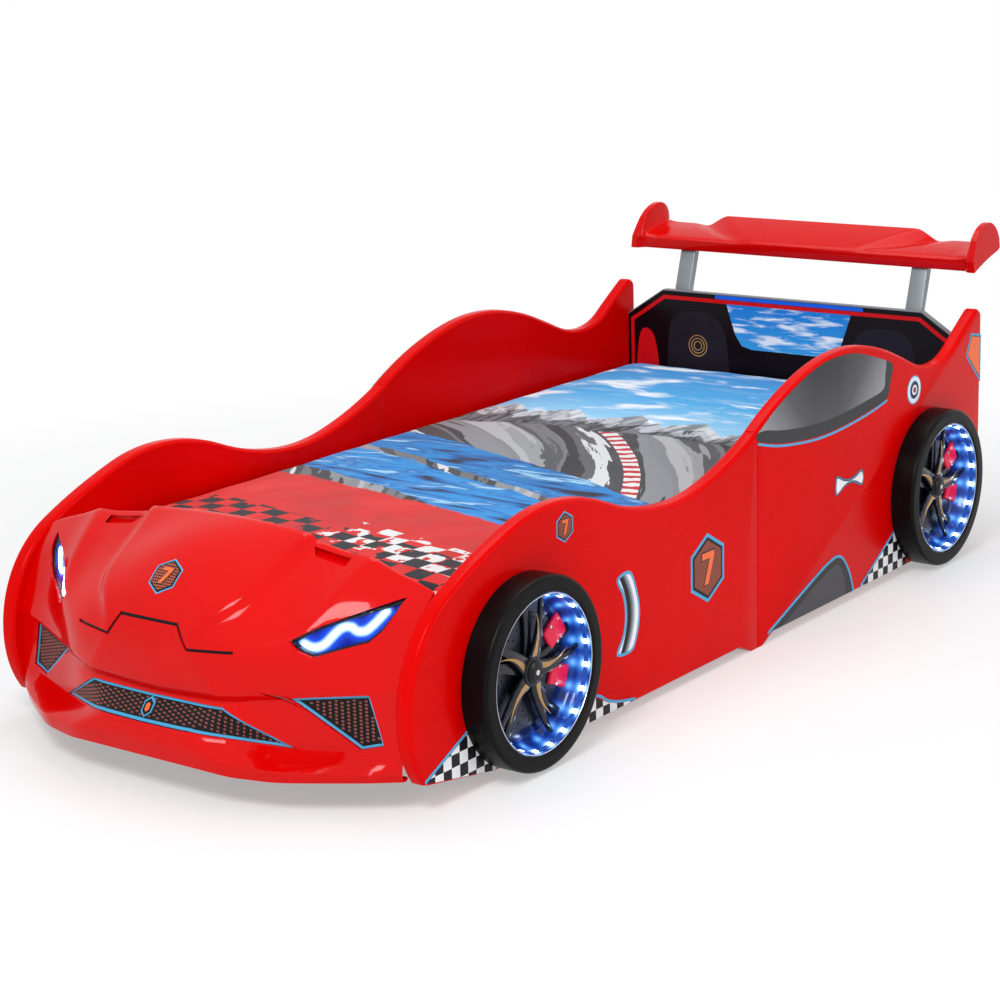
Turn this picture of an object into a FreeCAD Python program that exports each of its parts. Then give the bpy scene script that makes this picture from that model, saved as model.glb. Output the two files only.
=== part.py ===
import FreeCAD, Part
import Sketcher
import math
import os

# A child's race-car bed, in millimetres. +Z is up, the nose points along -Y and the headboard
# stands at the +Y end. Left is the car's own left, +X. The origin is on the floor, at the
# middle of the overall box. Stations are distances forward of the headboard's front face.

Vector = FreeCAD.Vector

SIZES = [
    # the whole bed
    ("nose_ahead", 322, "footboard to the foremost lip"),
    ("wing_reach", 178, "headboard face back to the wing's fins"),
    ("mattress_side_gap", 10, "side panel to mattress"),
    ("panel_thickness", 34, "side panel, two boards glued"),
    ("floor_gap", 20, "under edge of the panels above the floor"),
    ("fit_gap", 0.3, "clearance round a part set into an opening"),
    # side panel outline: stations, or distances ahead of the footboard, and heights
    ("corner_ahead", 149, "lower front corner"),
    ("corner_height", 54, ""),
    ("bow_ahead", 183, "foremost point of the panel"),
    ("bow_height", 150, ""),
    ("cheek_ahead", 131, "front edge where it starts to lean back"),
    ("cheek_height", 314, ""),
    ("brow_ahead", -21, "front edge below the bonnet hump"),
    ("brow_height", 406, ""),
    ("bonnet_ahead", -224, "top of the bonnet hump"),
    ("bonnet_height", 458, ""),
    ("sill_ahead", -604, "low point where the child climbs in"),
    ("sill_height", 374, ""),
    ("rise_station", 1039, "foot of the roof rise"),
    ("rise_height", 422, ""),
    ("pillar_station", 788, "upper part of the roof rise"),
    ("pillar_height", 530, ""),
    ("roof_station", 615, "top of the roof hump"),
    ("roof_height", 556, ""),
    ("slope_station", 399, "back slope of the roof"),
    ("slope_height", 513, ""),
    ("neck_station", 212, "dip before the tail"),
    ("neck_height", 452, ""),
    ("tail_station", 101, "hollow of the tail rise"),
    ("tail_height", 479, ""),
    ("tip_station", 2, "where the tail starts to round over"),
    ("tip_height", 541, ""),
    ("tip_slope", 32, "degrees, of the tail there"),
    ("tip_turn", 16, "how far the tip's round ends below that"),
    ("tail_overhang", 31, "rear edge behind the headboard's face"),
    ("rear_corner_height", 139, "lower end of the rear edge"),
    ("rear_ramp_station", 130, "where the rear underside comes level"),
    ("front_ramp_ahead", -48, "where the front underside comes level"),
    ("seam_station", 977, "joint of the front and rear half panels"),
    ("seam_height", 449, "top edge at the joint"),
    ("seam_slope", 27, "degrees, of the top edge there"),
    ("foot_half_length", 22, "flat of the foot each side of the seam"),
    ("foot_flare", 42, "length of the foot's sloping shoulder"),
    ("edge_bevel", 6, "bevel of the panels' long edges"),
    # boards across the bed
    ("board_thickness", 18, "headboard and footboard"),
    ("board_low", 60, "lower edge of both boards"),
    ("shoulder_height", 462, "headboard at the side panels"),
    ("headboard_height", 529, "headboard top edge"),
    ("shoulder_run", 104, "length of a cut upper corner"),
    ("edging_thickness", 3, "grey edging along the headboard's top"),
    ("footboard_height", 345, ""),
    # slatted base
    ("rail_top", 193, "slat rails and centre beam"),
    ("rail_width", 28, ""),
    ("rail_height", 45, ""),
    ("beam_width", 40, ""),
    ("beam_height", 60, ""),
    ("leg_width", 40, ""),
    ("leg_pitch", 570, "distance between the beam's legs"),
    ("slat_thickness", 12, ""),
    ("slat_width", 80, ""),
    ("slat_pitch", 146, ""),
    ("slat_start", 81, "station of the first slat's middle"),
    ("slat_side_gap", 2, "slat end to side panel"),
    # mattress
    ("mattress_length", 1900, ""),
    ("mattress_width", 900, ""),
    ("mattress_thickness", 150, ""),
    ("mattress_head_gap", 9, "headboard to mattress"),
    ("mattress_foot_gap", 5, "mattress to footboard"),
    ("mattress_corner", 45, "corner radius in plan"),
    ("mattress_crown", 5, "rise of the middle of the top"),
    ("mattress_waist", 5, "draw-in of the sides at half height"),
    # wheels
    ("wheel_front_ahead", -133, "front axle from the footboard"),
    ("wheel_rear_station", 229, ""),
    ("tyre_clearance", 5, "tyre above the floor"),
    ("tyre_radius", 176, ""),
    ("tyre_depth", 53, ""),
    ("tyre_shoulder", 10, ""),
    ("tyre_wall", 31, "tyre from the rim to the tread"),
    ("rim_wall", 4, ""),
    ("rim_back", 4, "back disc against the panel"),
    ("rim_setback", 3, "rim edge behind the tyre's face"),
    ("boss_radius", 27, ""),
    ("boss_length", 12, ""),
    ("spider_thickness", 12, "hub of the spoke spider"),
    ("spoke_thickness", 8, ""),
    ("spoke_root_width", 33, ""),
    ("spoke_tip_width", 15, ""),
    ("spoke_sweep", 9, "sideways bow of a spoke"),
    ("first_spoke_angle", 5, "degrees above the rearward level"),
    ("cap_radius", 22, ""),
    ("cap_height", 7, ""),
    ("strip_width", 9, "LED strip"),
    ("strip_thickness", 2, ""),
    ("strip_setback", 6, "LED strip behind the rim's edge"),
    ("disc_gap", 41, "brake disc inside the rim"),
    ("disc_thickness", 4, ""),
    ("caliper_in", 32, "calipers inside the disc edge"),
    ("caliper_out", 20, "calipers outside the disc edge"),
    ("caliper_gap", 0.5, "calipers clear of the spokes"),
    # joint hardware
    ("plate_thickness", 3, "joint plates and corner brackets"),
    ("plate_length", 140, ""),
    ("plate_height", 80, ""),
    ("plate_low", 56, "lower edge of joint plates and brackets"),
    ("bracket_leg", 50, ""),
    ("bracket_height", 60, ""),
    ("glide_width", 26, "glides under the panels"),
    # rear wing
    ("wing_overhang", 12, "fins outside the clear width"),
    ("wing_front", 48, "front edge behind the headboard's face"),
    ("wing_front_low", 622, ""),
    ("wing_front_high", 652, ""),
    ("wing_rear", 158, "rear edge of the blade"),
    ("wing_rear_low", 660, ""),
    ("wing_rear_high", 675, ""),
    ("deck_rise", 18, "raised middle of the wing"),
    ("deck_front_half", 164, ""),
    ("deck_rear_half", 300, ""),
    ("fin_top", 727, ""),
    ("fin_thickness", 22, ""),
    ("fin_lean", 12, "fins lean inward by this much"),
    ("post_inset", 141, "wing post from the side panel"),
    ("post_width", 42, ""),
    ("post_depth", 20, ""),
    ("post_low", 330, ""),
    ("post_bend", 488, ""),
    ("post_lean", 0.319, "backward slope above the bend"),
    ("post_tenon", 24, "how far the posts reach above the wing's front edge"),
    # nose moulding
    ("nose_wall", 4, "moulded shell"),
    ("nose_side_gap", 0.5, "nose to side panel"),
    ("nose_rear_ahead", 61, "footboard to the rear edge of the bonnet"),
    ("groove_width", 5, "shut line and vents sunk in the bonnet"),
    ("groove_depth", 2.4, ""),
    ("nose_flange_low", 316, "lower end of the rear flange"),
    ("nose_return", 22, "return along the under edge"),
    ("lens_recess", 3, ""),
    ("lens_thickness", 3, ""),
    ("tray_depth", 16, "headlight tray behind the lens"),
    ("tray_wall", 3, ""),
    ("grille_recess", 5, ""),
    ("grille_thickness", 3, ""),
    # LED driver
    ("driver_length", 150, ""),
    ("driver_height", 60, ""),
    ("driver_depth", 36, ""),
    ("driver_station", 1500, ""),
]

# The lines that shape the nose, each from the middle plane outward:
# (half width, distance ahead of the footboard, height), drawn for NOSE_WIDTH between the panels.
NOSE_WIDTH = 920
NOSE_LINES = {
    "rear": [(0, 61, 441), (180, 61, 431), (280, 61, 414), (390, 61, 390), (460, 61, 367)],
    "bonnet": [(0, 148, 421), (180, 141, 384), (280, 121, 374), (390, 84, 372), (460, 79, 352)],
    "brow": [(0, 228, 371), (180, 236, 321), (290, 196, 303), (390, 114, 344), (460, 100, 332)],
    "cheek": [(0, 279, 306), (180, 275, 271), (290, 213, 270), (390, 138, 293), (460, 128, 288)],
    "fold": [(0, 290, 186), (155, 281, 190), (220, 257, 196), (285, 220, 198), (400, 173, 212), (460, 158, 214)],
    "tuck": [(0, 276, 173), (155, 268, 177), (220, 246, 184), (285, 215, 186), (400, 172, 203), (460, 157, 206)],
    "chin": [(0, 317, 123), (105, 315, 121), (285, 217, 98), (400, 171, 101), (460, 163, 104)],
    "lip": [(0, 322, 98), (165, 317, 90), (190, 310, 84), (280, 286, 80), (400, 211, 75), (460, 165, 74)],
    "sill": [(0, 316, 64), (165, 312, 62), (190, 305, 58), (280, 282, 58), (400, 207, 58), (460, 162, 58)],
}
SMOOTH_LINES = ("rear", "bonnet", "brow", "cheek")
# The half widths at which each line is cut. The fourth cut follows the crease beside the raised
# middle of the bonnet, the fifth its foot, and the eighth the ridge above the headlight.
NOSE_CUTS = {
    "rear": [0, 75, 140, 190, 206, 250, 290, 331, 370, 405, 435],
    "bonnet": [0, 72, 128, 176, 192, 238, 278, 316, 360, 400, 432],
    "brow": [0, 62, 108, 148, 164, 210, 250, 296, 350, 395, 430],
    "cheek": [0, 45, 75, 98, 114, 170, 225, 282, 345, 392, 430],
    "fold": [0, 55, 105, 155, 185, 220, 250, 285, 345, 400, 430],
    "tuck": [0, 55, 105, 155, 185, 220, 250, 285, 345, 400, 430],
    "chin": [0, 55, 80, 105, 150, 190, 240, 285, 345, 400, 430],
    "lip": [0, 55, 110, 165, 190, 220, 250, 280, 345, 400, 430],
    "sill": [0, 55, 110, 165, 190, 220, 250, 280, 345, 400, 430],
}
# How far each cut of the smooth lines stands out of them, and how much of that each line has.
CUT_RELIEF = [3, 3, 3, 5, -5, -3, -2, 7, 0, 0, 0, 0]
LINE_RELIEF = {"rear": 1, "bonnet": 1, "brow": 0.9, "cheek": 0.4}
BONNET_STEPS = 8

# Openings of the nose seen from the front: (half width, height) of each corner.
HEADLIGHT = [
    (268, 290), (306, 312), (364, 336), (421, 358), (415, 334), (401, 307), (382, 287), (306, 263), (288, 272),
]
SIDE_GRILLE = [(266, 190), (400, 204), (424, 117), (382, 106)]
CENTRE_GRILLE = [(-155, 168), (155, 168), (278, 101), (105, 125), (-105, 125), (-278, 101)]
# The shut line of the bonnet seen from the front, and a vent seen from above with its distance
# ahead of the footboard.
SHUT_LINE = [(-185, 269), (-94, 265), (-67, 303), (67, 303), (94, 265), (185, 269)]
VENT = [(208, 74), (290, 73), (290, 89), (222, 87)]


class Size:
    """A length that knows its number and the sheet expression behind it."""

    def __init__(self, value, text):
        self.value = float(value)
        self.text = text

    def __add__(self, other):
        other = as_size(other)
        return Size(self.value + other.value, "(%s + %s)" % (self.text, other.text))

    def __sub__(self, other):
        other = as_size(other)
        return Size(self.value - other.value, "(%s - %s)" % (self.text, other.text))

    def __mul__(self, factor):
        factor = as_size(factor)
        return Size(self.value * factor.value, "(%s * %s)" % (self.text, factor.text))

    def __truediv__(self, divisor):
        divisor = as_size(divisor)
        return Size(self.value / divisor.value, "(%s / %s)" % (self.text, divisor.text))

    def __neg__(self):
        return self * -1

    def __radd__(self, other):
        return as_size(other) + self

    def __rsub__(self, other):
        return as_size(other) - self

    def __rmul__(self, other):
        return as_size(other) * self

    def __float__(self):
        return self.value


def as_size(number):
    """A Size as it is, and a plain number as a Size."""
    return number if isinstance(number, Size) else Size(number, "%.6g" % number)


class Dims:
    """The sheet of driving dimensions, read by name."""

    def __init__(self, doc):
        sheet = doc.addObject("Spreadsheet::Sheet", "dims")
        for row, (alias, value, note) in enumerate(SIZES, start=1):
            sheet.set("A%d" % row, alias)
            sheet.set("B%d" % row, str(value))
            sheet.set("C%d" % row, note)
            sheet.setAlias("B%d" % row, alias)
        doc.recompute()
        self.sheet = sheet

    def __getattr__(self, alias):
        return Size(getattr(self.sheet, alias), "dims." + alias)


doc = FreeCAD.newDocument("car_bed")
d = Dims(doc)
inner_width = d.mattress_width + 2 * d.mattress_side_gap
footboard_station = d.mattress_head_gap + d.mattress_length + d.mattress_foot_gap
nose_reach = footboard_station + d.nose_ahead
nose_half = inner_width / 2 - d.nose_side_gap
nose_rear_station = footboard_station + d.nose_rear_ahead
wheel_front_station = footboard_station + d.wheel_front_ahead
wheel_height = d.tyre_radius + d.tyre_clearance
rim_radius = d.tyre_radius - d.tyre_wall
disc_radius = rim_radius - d.disc_gap
wing_half = inner_width / 2 + d.wing_overhang
face_y = (nose_reach - d.wing_reach) / 2
SIDES = {"left": 1, "right": -1}
nodes = {}


def ahead(station):
    """The Y of a station forward of the headboard's front face."""
    return face_y - station


def keep(obj, label):
    """Names a finished sub-part and puts it on the list that is written."""
    obj.Label = label
    nodes[label] = obj
    return obj


def bind(obj, prop, size):
    """Drives a property from the sheet."""
    obj.setExpression(prop, as_size(size).text)


def place(obj, x=0, y=0, z=0, turn=None):
    """Puts an object at a place driven from the sheet, turned by an (axis, degrees) pair."""
    if turn is not None:
        obj.Placement = FreeCAD.Placement(Vector(), FreeCAD.Rotation(*turn))
    for name, size in (("x", x), ("y", y), ("z", z)):
        bind(obj, "Placement.Base." + name, size)
    return obj


def box(name, low, size):
    """A Part::Box from its lowest corner and its three sizes."""
    obj = doc.addObject("Part::Box", name)
    for prop, value in zip(("Length", "Width", "Height"), size):
        bind(obj, prop, value)
    return place(obj, *low)


def fuse(name, *shapes):
    """The union of several objects."""
    obj = doc.addObject("Part::MultiFuse", name)
    obj.Shapes = list(shapes)
    return obj


def cut(name, base, tool):
    """base with tool taken away."""
    obj = doc.addObject("Part::Cut", name)
    obj.Base = base
    obj.Tool = tool
    return obj


def group(name, members):
    """Identical pieces that share one sub-part, each still its own solid."""
    obj = doc.addObject("Part::Compound", name)
    obj.Links = list(members)
    return obj


def new_body(name):
    """An empty PartDesign body."""
    return doc.addObject("PartDesign::Body", name)


def sketch_on(body, role, lift=0):
    """A sketch on one of the body's own origin planes, lifted along the plane's normal."""
    sketch = body.newObject("Sketcher::SketchObject", body.Name + "_sketch")
    plane = next(f for f in body.Origin.OriginFeatures if f.Role == role)
    sketch.AttachmentSupport = [(plane, "")]
    sketch.MapMode = "FlatFace"
    bind(sketch, "AttachmentOffset.Base.z", lift)
    return sketch


def pin_vertex(sketch, edge, x, y):
    """Ties the start of an edge to sheet-driven coordinates."""
    for kind, size in (("DistanceX", as_size(x)), ("DistanceY", as_size(y))):
        index = sketch.addConstraint(Sketcher.Constraint(kind, -1, 1, edge, 1, size.value))
        sketch.setExpression("Constraints[%d]" % index, size.text)


def polygon(sketch, points):
    """A closed polygon whose corners are driven from the sheet."""
    flat = [Vector(float(x), float(y), 0) for x, y in points]
    first = len(sketch.Geometry)
    for start, end in zip(flat, flat[1:] + flat[:1]):
        sketch.addGeometry(Part.LineSegment(start, end), False)
    count = len(points)
    for i in range(count):
        edge, following = first + i, first + (i + 1) % count
        sketch.addConstraint(Sketcher.Constraint("Coincident", edge, 2, following, 1))
    for i, (x, y) in enumerate(points):
        pin_vertex(sketch, first + i, x, y)
    return sketch


def pad(body, sketch, length, reverse=False):
    """A Pad of a sketch, its length driven from the sheet."""
    feature = body.newObject("PartDesign::Pad", body.Name + "_pad")
    feature.Profile = sketch
    feature.Reversed = reverse
    bind(feature, "Length", length)
    return feature


def revolve_about_x(body, points):
    """A ring or disc from a half section of (x, radius) corners, turned about X."""
    sketch = polygon(sketch_on(body, "XY_Plane"), points)
    feature = body.newObject("PartDesign::Revolution", body.Name + "_turn")
    feature.Profile = sketch
    feature.ReferenceAxis = (sketch, ["H_Axis"])
    feature.Angle = 360
    return feature


def bevel_edges(body, base, size, wanted):
    """A Chamfer on the edges of base that wanted(edge) picks."""
    doc.recompute()
    names = ["Edge%d" % (i + 1) for i, e in enumerate(base.Shape.Edges) if wanted(e)]
    feature = body.newObject("PartDesign::Chamfer", body.Name + "_bevel")
    feature.Base = (base, names)
    bind(feature, "Size", size)
    return feature


# ---------------------------------------------------------------- side panels

def biarc(start, along_start, end, along_end):
    """Two arcs that leave start and reach end along the given unit directions."""
    chord = end - start
    both = along_start + along_end
    a = 2 * (along_start.dot(along_end) - 1)
    b = -2 * chord.dot(both)
    c = chord.dot(chord)
    reach = -c / b if abs(a) < 1e-9 else (-b - math.sqrt(b * b - 4 * a * c)) / (2 * a)
    joint = (start + along_start * reach + end - along_end * reach) * 0.5
    first = arc_from(start, along_start, joint)
    second = arc_from(end, along_end * -1, joint, backwards=True)
    return [first, second]


def arc_from(start, along, end, backwards=False):
    """The arc that leaves start in a direction and passes to end, or its reverse."""
    chord = end - start
    normal = along - chord * (along.dot(chord) / chord.dot(chord))
    rise = normal.Length / along.dot(chord) * chord.Length if normal.Length > 1e-9 else 0
    half_turn = math.atan(rise) / 2
    middle = (start + end) * 0.5
    if normal.Length > 1e-9:
        middle += normal * (chord.Length / 2 * math.tan(half_turn) / normal.Length)
    points = (end, middle, start) if backwards else (start, middle, end)
    return Part.Arc(*points)


def arc_chain(points, final_aims=()):
    """Smoothly joined arcs through points. They take the directions of a spline through the
    points, but for the last ones, which may be given."""
    guide = Part.BSplineCurve()
    guide.interpolate(points)
    aims = []
    for point in points:
        tangent = guide.tangent(guide.parameter(point))[0]
        aims.append(Vector(tangent.x, tangent.y, 0).normalize())
    if final_aims:
        aims[-len(final_aims):] = final_aims
    chain = []
    for i in range(len(points) - 1):
        chain += biarc(points[i], aims[i], points[i + 1], aims[i + 1])
    return chain


def panel_arcs(half):
    """The top edge of a half panel, from the front or the seam rearward."""
    front = ("corner", "bow", "cheek", "brow", "bonnet", "sill", "rise")
    rear = ("pillar", "roof", "slope", "neck", "tail", "tip")
    points = []
    for name in front if half == "front" else rear:
        if name in front[:-1]:
            station = footboard_station + getattr(d, name + "_ahead")
        else:
            station = getattr(d, name + "_station")
        height = getattr(d, name + "_height")
        points.append(Vector(ahead(station).value, height.value, 0))
    seam = Vector(ahead(d.seam_station).value, d.seam_height.value, 0)
    slope = math.radians(d.seam_slope.value)
    at_seam = Vector(math.cos(slope), math.sin(slope), 0)
    if half == "front":
        return arc_chain(points + [seam], [at_seam])
    back = ahead(-1 * d.tail_overhang).value
    end = Vector(back, d.tip_height.value - d.tip_turn.value, 0)
    slope = math.radians(d.tip_slope.value)
    at_tip = Vector(math.cos(slope), math.sin(slope), 0)
    return arc_chain([seam] + points + [end], [at_tip, Vector(0, -1, 0)])


def closed_outline(sketch, curves, corners):
    """A sketch outline: curves that join up, then straight edges through the corners."""
    for curve in curves:
        sketch.addGeometry(curve, False)
    start = curves[0].value(curves[0].FirstParameter)
    end = curves[-1].value(curves[-1].LastParameter)
    path = [end] + [Vector(float(x), float(y), 0) for x, y in corners] + [start]
    for a, b in zip(path, path[1:]):
        sketch.addGeometry(Part.LineSegment(a, b), False)
    for i, (x, y) in enumerate(corners):
        pin_vertex(sketch, len(curves) + 1 + i, x, y)


def side_panel(side, half):
    """One half of a side panel, with its bevelled edge."""
    body = new_body("panel_%s_%s" % (side, half))
    seam_y = ahead(d.seam_station)
    foot_end = d.foot_half_length + d.foot_flare
    if half == "front":
        corners = [
            (seam_y, 0),
            (seam_y - d.foot_half_length, 0),
            (seam_y - foot_end, d.floor_gap),
            (ahead(footboard_station + d.front_ramp_ahead), d.floor_gap),
        ]
    else:
        corners = [
            (ahead(-1 * d.tail_overhang), d.rear_corner_height),
            (ahead(d.rear_ramp_station), d.floor_gap),
            (seam_y + foot_end, d.floor_gap),
            (seam_y + d.foot_half_length, 0),
            (seam_y, 0),
        ]
    sketch = sketch_on(body, "YZ_Plane")
    closed_outline(sketch, panel_arcs(half), corners)
    slab = pad(body, sketch, d.panel_thickness)
    low = d.floor_gap.value + 5

    def exposed(edge):
        """The long edges of the two faces above the panel's underside."""
        return edge.BoundBox.XLength < 1 and edge.BoundBox.ZMin > low

    body.Tip = bevel_edges(body, slab, d.edge_bevel, exposed)
    left_x = inner_width / 2
    place(body, left_x if side == "left" else -1 * (left_x + d.panel_thickness))
    return keep(body, "side_panel_%s_%s" % (side, half))


# ---------------------------------------------------------------- boards

def headboard_outline(drop):
    """The headboard's upper corners, lowered by drop, from left to right."""
    half = inner_width / 2
    top = half - d.shoulder_run
    return [
        (-1 * half, d.shoulder_height - drop),
        (-1 * top, d.headboard_height - drop),
        (top, d.headboard_height - drop),
        (half, d.shoulder_height - drop),
    ]


def headboard():
    """The board behind the pillow, with cut upper corners."""
    body = new_body("headboard_body")
    half = inner_width / 2
    corners = headboard_outline(d.edging_thickness)
    points = [(-1 * half, d.board_low)] + corners + [(half, d.board_low)]
    sketch = polygon(sketch_on(body, "XZ_Plane"), points)
    body.Tip = pad(body, sketch, d.board_thickness)
    place(body, y=face_y + d.board_thickness)
    return keep(body, "headboard")


def headboard_edging():
    """The grey edging strip that follows the headboard's top."""
    body = new_body("edging_body")
    upper = headboard_outline(0)
    lower = headboard_outline(d.edging_thickness)
    sketch = polygon(sketch_on(body, "XZ_Plane"), upper + lower[::-1])
    body.Tip = pad(body, sketch, d.board_thickness)
    place(body, y=face_y + d.board_thickness)
    return keep(body, "headboard_edging")


def footboard():
    """The board across the foot end that carries the nose."""
    half = inner_width / 2
    low = (-1 * half, ahead(footboard_station + d.board_thickness), d.board_low)
    size = (half * 2, d.board_thickness, d.footboard_height - d.board_low)
    return keep(box("footboard_board", low, size), "footboard")


def nose_cleat():
    """The batten between the footboard and the rear flange of the nose."""
    low_z = d.nose_flange_low
    start = footboard_station + d.board_thickness
    depth = nose_rear_station - start
    half = inner_width / 2
    low = (-1 * half, ahead(nose_rear_station), low_z)
    return keep(box("cleat", low, (half * 2, depth, d.footboard_height - low_z)), "nose_cleat")


# ---------------------------------------------------------------- slatted base

def slat_rails():
    """The timber rails on the side panels that carry the slat ends."""
    half = inner_width / 2
    for side, sign in SIDES.items():
        x = half - d.rail_width if sign > 0 else -1 * half
        low = (x, ahead(footboard_station), d.rail_top - d.rail_height)
        bar = box("rail_bar_" + side, low, (d.rail_width, footboard_station, d.rail_height))
        keep(bar, "slat_rail_" + side)


def centre_beam():
    """The beam under the middle of the slats."""
    low = (-1 * d.beam_width / 2, ahead(footboard_station), d.rail_top - d.beam_height)
    size = (d.beam_width, footboard_station, d.beam_height)
    return keep(box("beam", low, size), "centre_beam")


def beam_legs():
    """Three legs from the floor to the beam."""
    legs = []
    for i in (-1, 0, 1):
        station = footboard_station / 2 + d.leg_pitch * i + d.leg_width / 2
        low = (-1 * d.leg_width / 2, ahead(station), 0)
        size = (d.leg_width, d.leg_width, d.rail_top - d.beam_height)
        legs.append(box("leg_%d" % (i + 2), low, size))
    return keep(group("legs", legs), "beam_legs")


def bed_slats():
    """The loose slats that lie on the rails and the beam."""
    slats = []
    half = inner_width / 2 - d.slat_side_gap
    last = footboard_station - d.slat_start - d.slat_width / 2
    for i in range(int(last.value / d.slat_pitch.value) + 1):
        station = d.slat_start + d.slat_pitch * i + d.slat_width / 2
        low = (-1 * half, ahead(station), d.rail_top)
        slats.append(box("slat_%d" % (i + 1), low, (half * 2, d.slat_width, d.slat_thickness)))
    return keep(group("slats", slats), "bed_slats")


# ---------------------------------------------------------------- mattress

def rounded_rectangle(half_x, half_y, radius, z):
    """A closed wire: a rectangle with quarter-round corners at height z."""
    edges = []
    corners = [(1, 1), (-1, 1), (-1, -1), (1, -1)]
    diagonal = radius * (1 - math.sqrt(0.5))
    for i, (sx, sy) in enumerate(corners):
        nx, ny = corners[(i + 1) % 4]
        along_x = Vector(sx * half_x, sy * (half_y - radius), z)
        along_y = Vector(sx * (half_x - radius), sy * half_y, z)
        middle = Vector(sx * (half_x - diagonal), sy * (half_y - diagonal), z)
        start, end = (along_x, along_y) if i % 2 == 0 else (along_y, along_x)
        edges.append(Part.Arc(start, middle, end).toShape())
        if i % 2 == 0:
            following = Vector(nx * (half_x - radius), ny * half_y, z)
        else:
            following = Vector(nx * half_x, ny * (half_y - radius), z)
        edges.append(Part.LineSegment(end, following).toShape())
    return Part.Wire(edges)


def mattress():
    """The mattress: drawn-in sides between two rolled rims, and a low crown."""
    half_x, half_y = d.mattress_width.value / 2, d.mattress_length.value / 2
    thick, corner = d.mattress_thickness.value, d.mattress_corner.value
    crown, waist = d.mattress_crown.value, d.mattress_waist.value
    rim = thick / 9
    # (inset from the widest outline, height above the slats)
    profile = [
        (rim, 0),
        (0, rim),
        (waist, thick * 0.36),
        (waist, thick * 0.62),
        (0, thick - crown - rim),
        (rim * 0.3, thick - crown - rim * 0.3),
        (rim, thick - crown),
        (corner * 4, thick),
    ]
    wires = []
    for inset, height in profile:
        radius = max(corner - inset, corner * 0.4)
        wires.append(rounded_rectangle(half_x - inset, half_y - inset, radius, height))
    obj = doc.addObject("Part::Feature", "mattress_body")
    obj.Shape = Part.makeLoft(wires, True, True)
    middle = d.mattress_head_gap + d.mattress_length / 2
    place(obj, 0, ahead(middle), d.rail_top + d.slat_thickness + d.fit_gap)
    return keep(obj, "mattress")


# ---------------------------------------------------------------- wheels

def wheel_sites():
    """(name, side sign, station) of the four wheels."""
    stations = {"front": wheel_front_station, "rear": d.wheel_rear_station}
    return [("%s_%s" % (end, side), sign, station)
            for end, station in stations.items() for side, sign in SIDES.items()]


def seat_wheel_part(body, sign, station):
    """Puts a wheel part, modelled outward along +X from the panel, on its panel."""
    turn = (Vector(0, 0, 1), 0 if sign > 0 else 180)
    x = (inner_width / 2 + d.panel_thickness) * sign
    return place(body, x, ahead(station), wheel_height, turn)


def tyre(name):
    """The smooth tyre ring."""
    body = new_body("tyre_" + name)
    outer, depth, soft = d.tyre_radius, d.tyre_depth, d.tyre_shoulder
    body.Tip = revolve_about_x(body, [
        (0, rim_radius),
        (0, outer),
        (depth - soft, outer),
        (depth, outer - soft),
        (depth, rim_radius),
    ])
    return body


def rim_barrel(name):
    """The barrel with its back disc."""
    body = new_body("rim_" + name)
    inner = rim_radius - d.rim_wall
    depth = d.tyre_depth - d.rim_setback
    body.Tip = revolve_about_x(body, [
        (0, 0),
        (0, rim_radius),
        (depth, rim_radius),
        (depth, inner),
        (d.rim_back, inner),
        (d.rim_back, 0),
    ])
    return body


def led_strip(name):
    """The ring of LED strip stuck inside the barrel."""
    body = new_body("strip_" + name)
    outer = rim_radius - d.rim_wall
    edge = d.tyre_depth - d.rim_setback - d.strip_setback
    body.Tip = revolve_about_x(body, [
        (edge - d.strip_width, outer - d.strip_thickness),
        (edge - d.strip_width, outer),
        (edge, outer),
        (edge, outer - d.strip_thickness),
    ])
    return body


def brake_disc(name):
    """The dummy brake disc on the back disc, round the boss."""
    body = new_body("disc_" + name)
    inner = d.boss_radius + d.fit_gap * 3
    body.Tip = revolve_about_x(body, [
        (d.rim_back, inner),
        (d.rim_back, disc_radius),
        (d.rim_back + d.disc_thickness, disc_radius),
        (d.rim_back + d.disc_thickness, inner),
    ])
    return body


def hub_cap(name):
    """The domed cap on the spoke hub."""
    body = new_body("cap_" + name)
    front = d.rim_back + d.boss_length + d.spider_thickness
    body.Tip = revolve_about_x(body, [
        (front, 0),
        (front, d.cap_radius),
        (front + d.cap_height * 0.6, d.cap_radius - 2.5),
        (front + d.cap_height, d.cap_radius - 9),
        (front + d.cap_height, 0),
    ])
    return body


def spoke_spider(name):
    """Hub and five bowed spokes that reach the barrel, with a slimmer blade beside each."""
    body = new_body("spider_" + name)
    back = d.rim_back + d.boss_length
    hub = revolve_about_x(body, [
        (d.rim_back, 0),
        (d.rim_back, d.boss_radius),
        (back + d.spider_thickness, d.boss_radius),
        (back + d.spider_thickness, 0),
    ])
    body.Tip = hub
    start = d.boss_radius.value - 3
    half_tip = d.spoke_tip_width.value / 2
    reach = math.sqrt((rim_radius - d.rim_wall - d.fit_gap).value ** 2 - half_tip ** 2)
    sweep = d.spoke_sweep.value
    blades = [
        (0, d.spoke_root_width.value, d.spoke_tip_width.value, d.spoke_thickness),
        (24, d.spoke_tip_width.value, d.spoke_tip_width.value * 0.6, d.spoke_thickness * 0.6),
    ]
    for offset, root, tip, thickness in blades:
        sketch = sketch_on(body, "YZ_Plane", back)
        aim = d.first_spoke_angle.value + offset
        draw_spoke(sketch, aim, start, reach, root, tip, sweep)
        spoke = pad(body, sketch, thickness)
        body.Tip = spoke
        pattern = body.newObject("PartDesign::PolarPattern", body.Name + "_five")
        pattern.Originals = [spoke]
        pattern.Axis = (hub.Profile[0], ["H_Axis"])
        pattern.Angle = 360
        pattern.Occurrences = 5
        body.Tip = pattern
    return body


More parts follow.
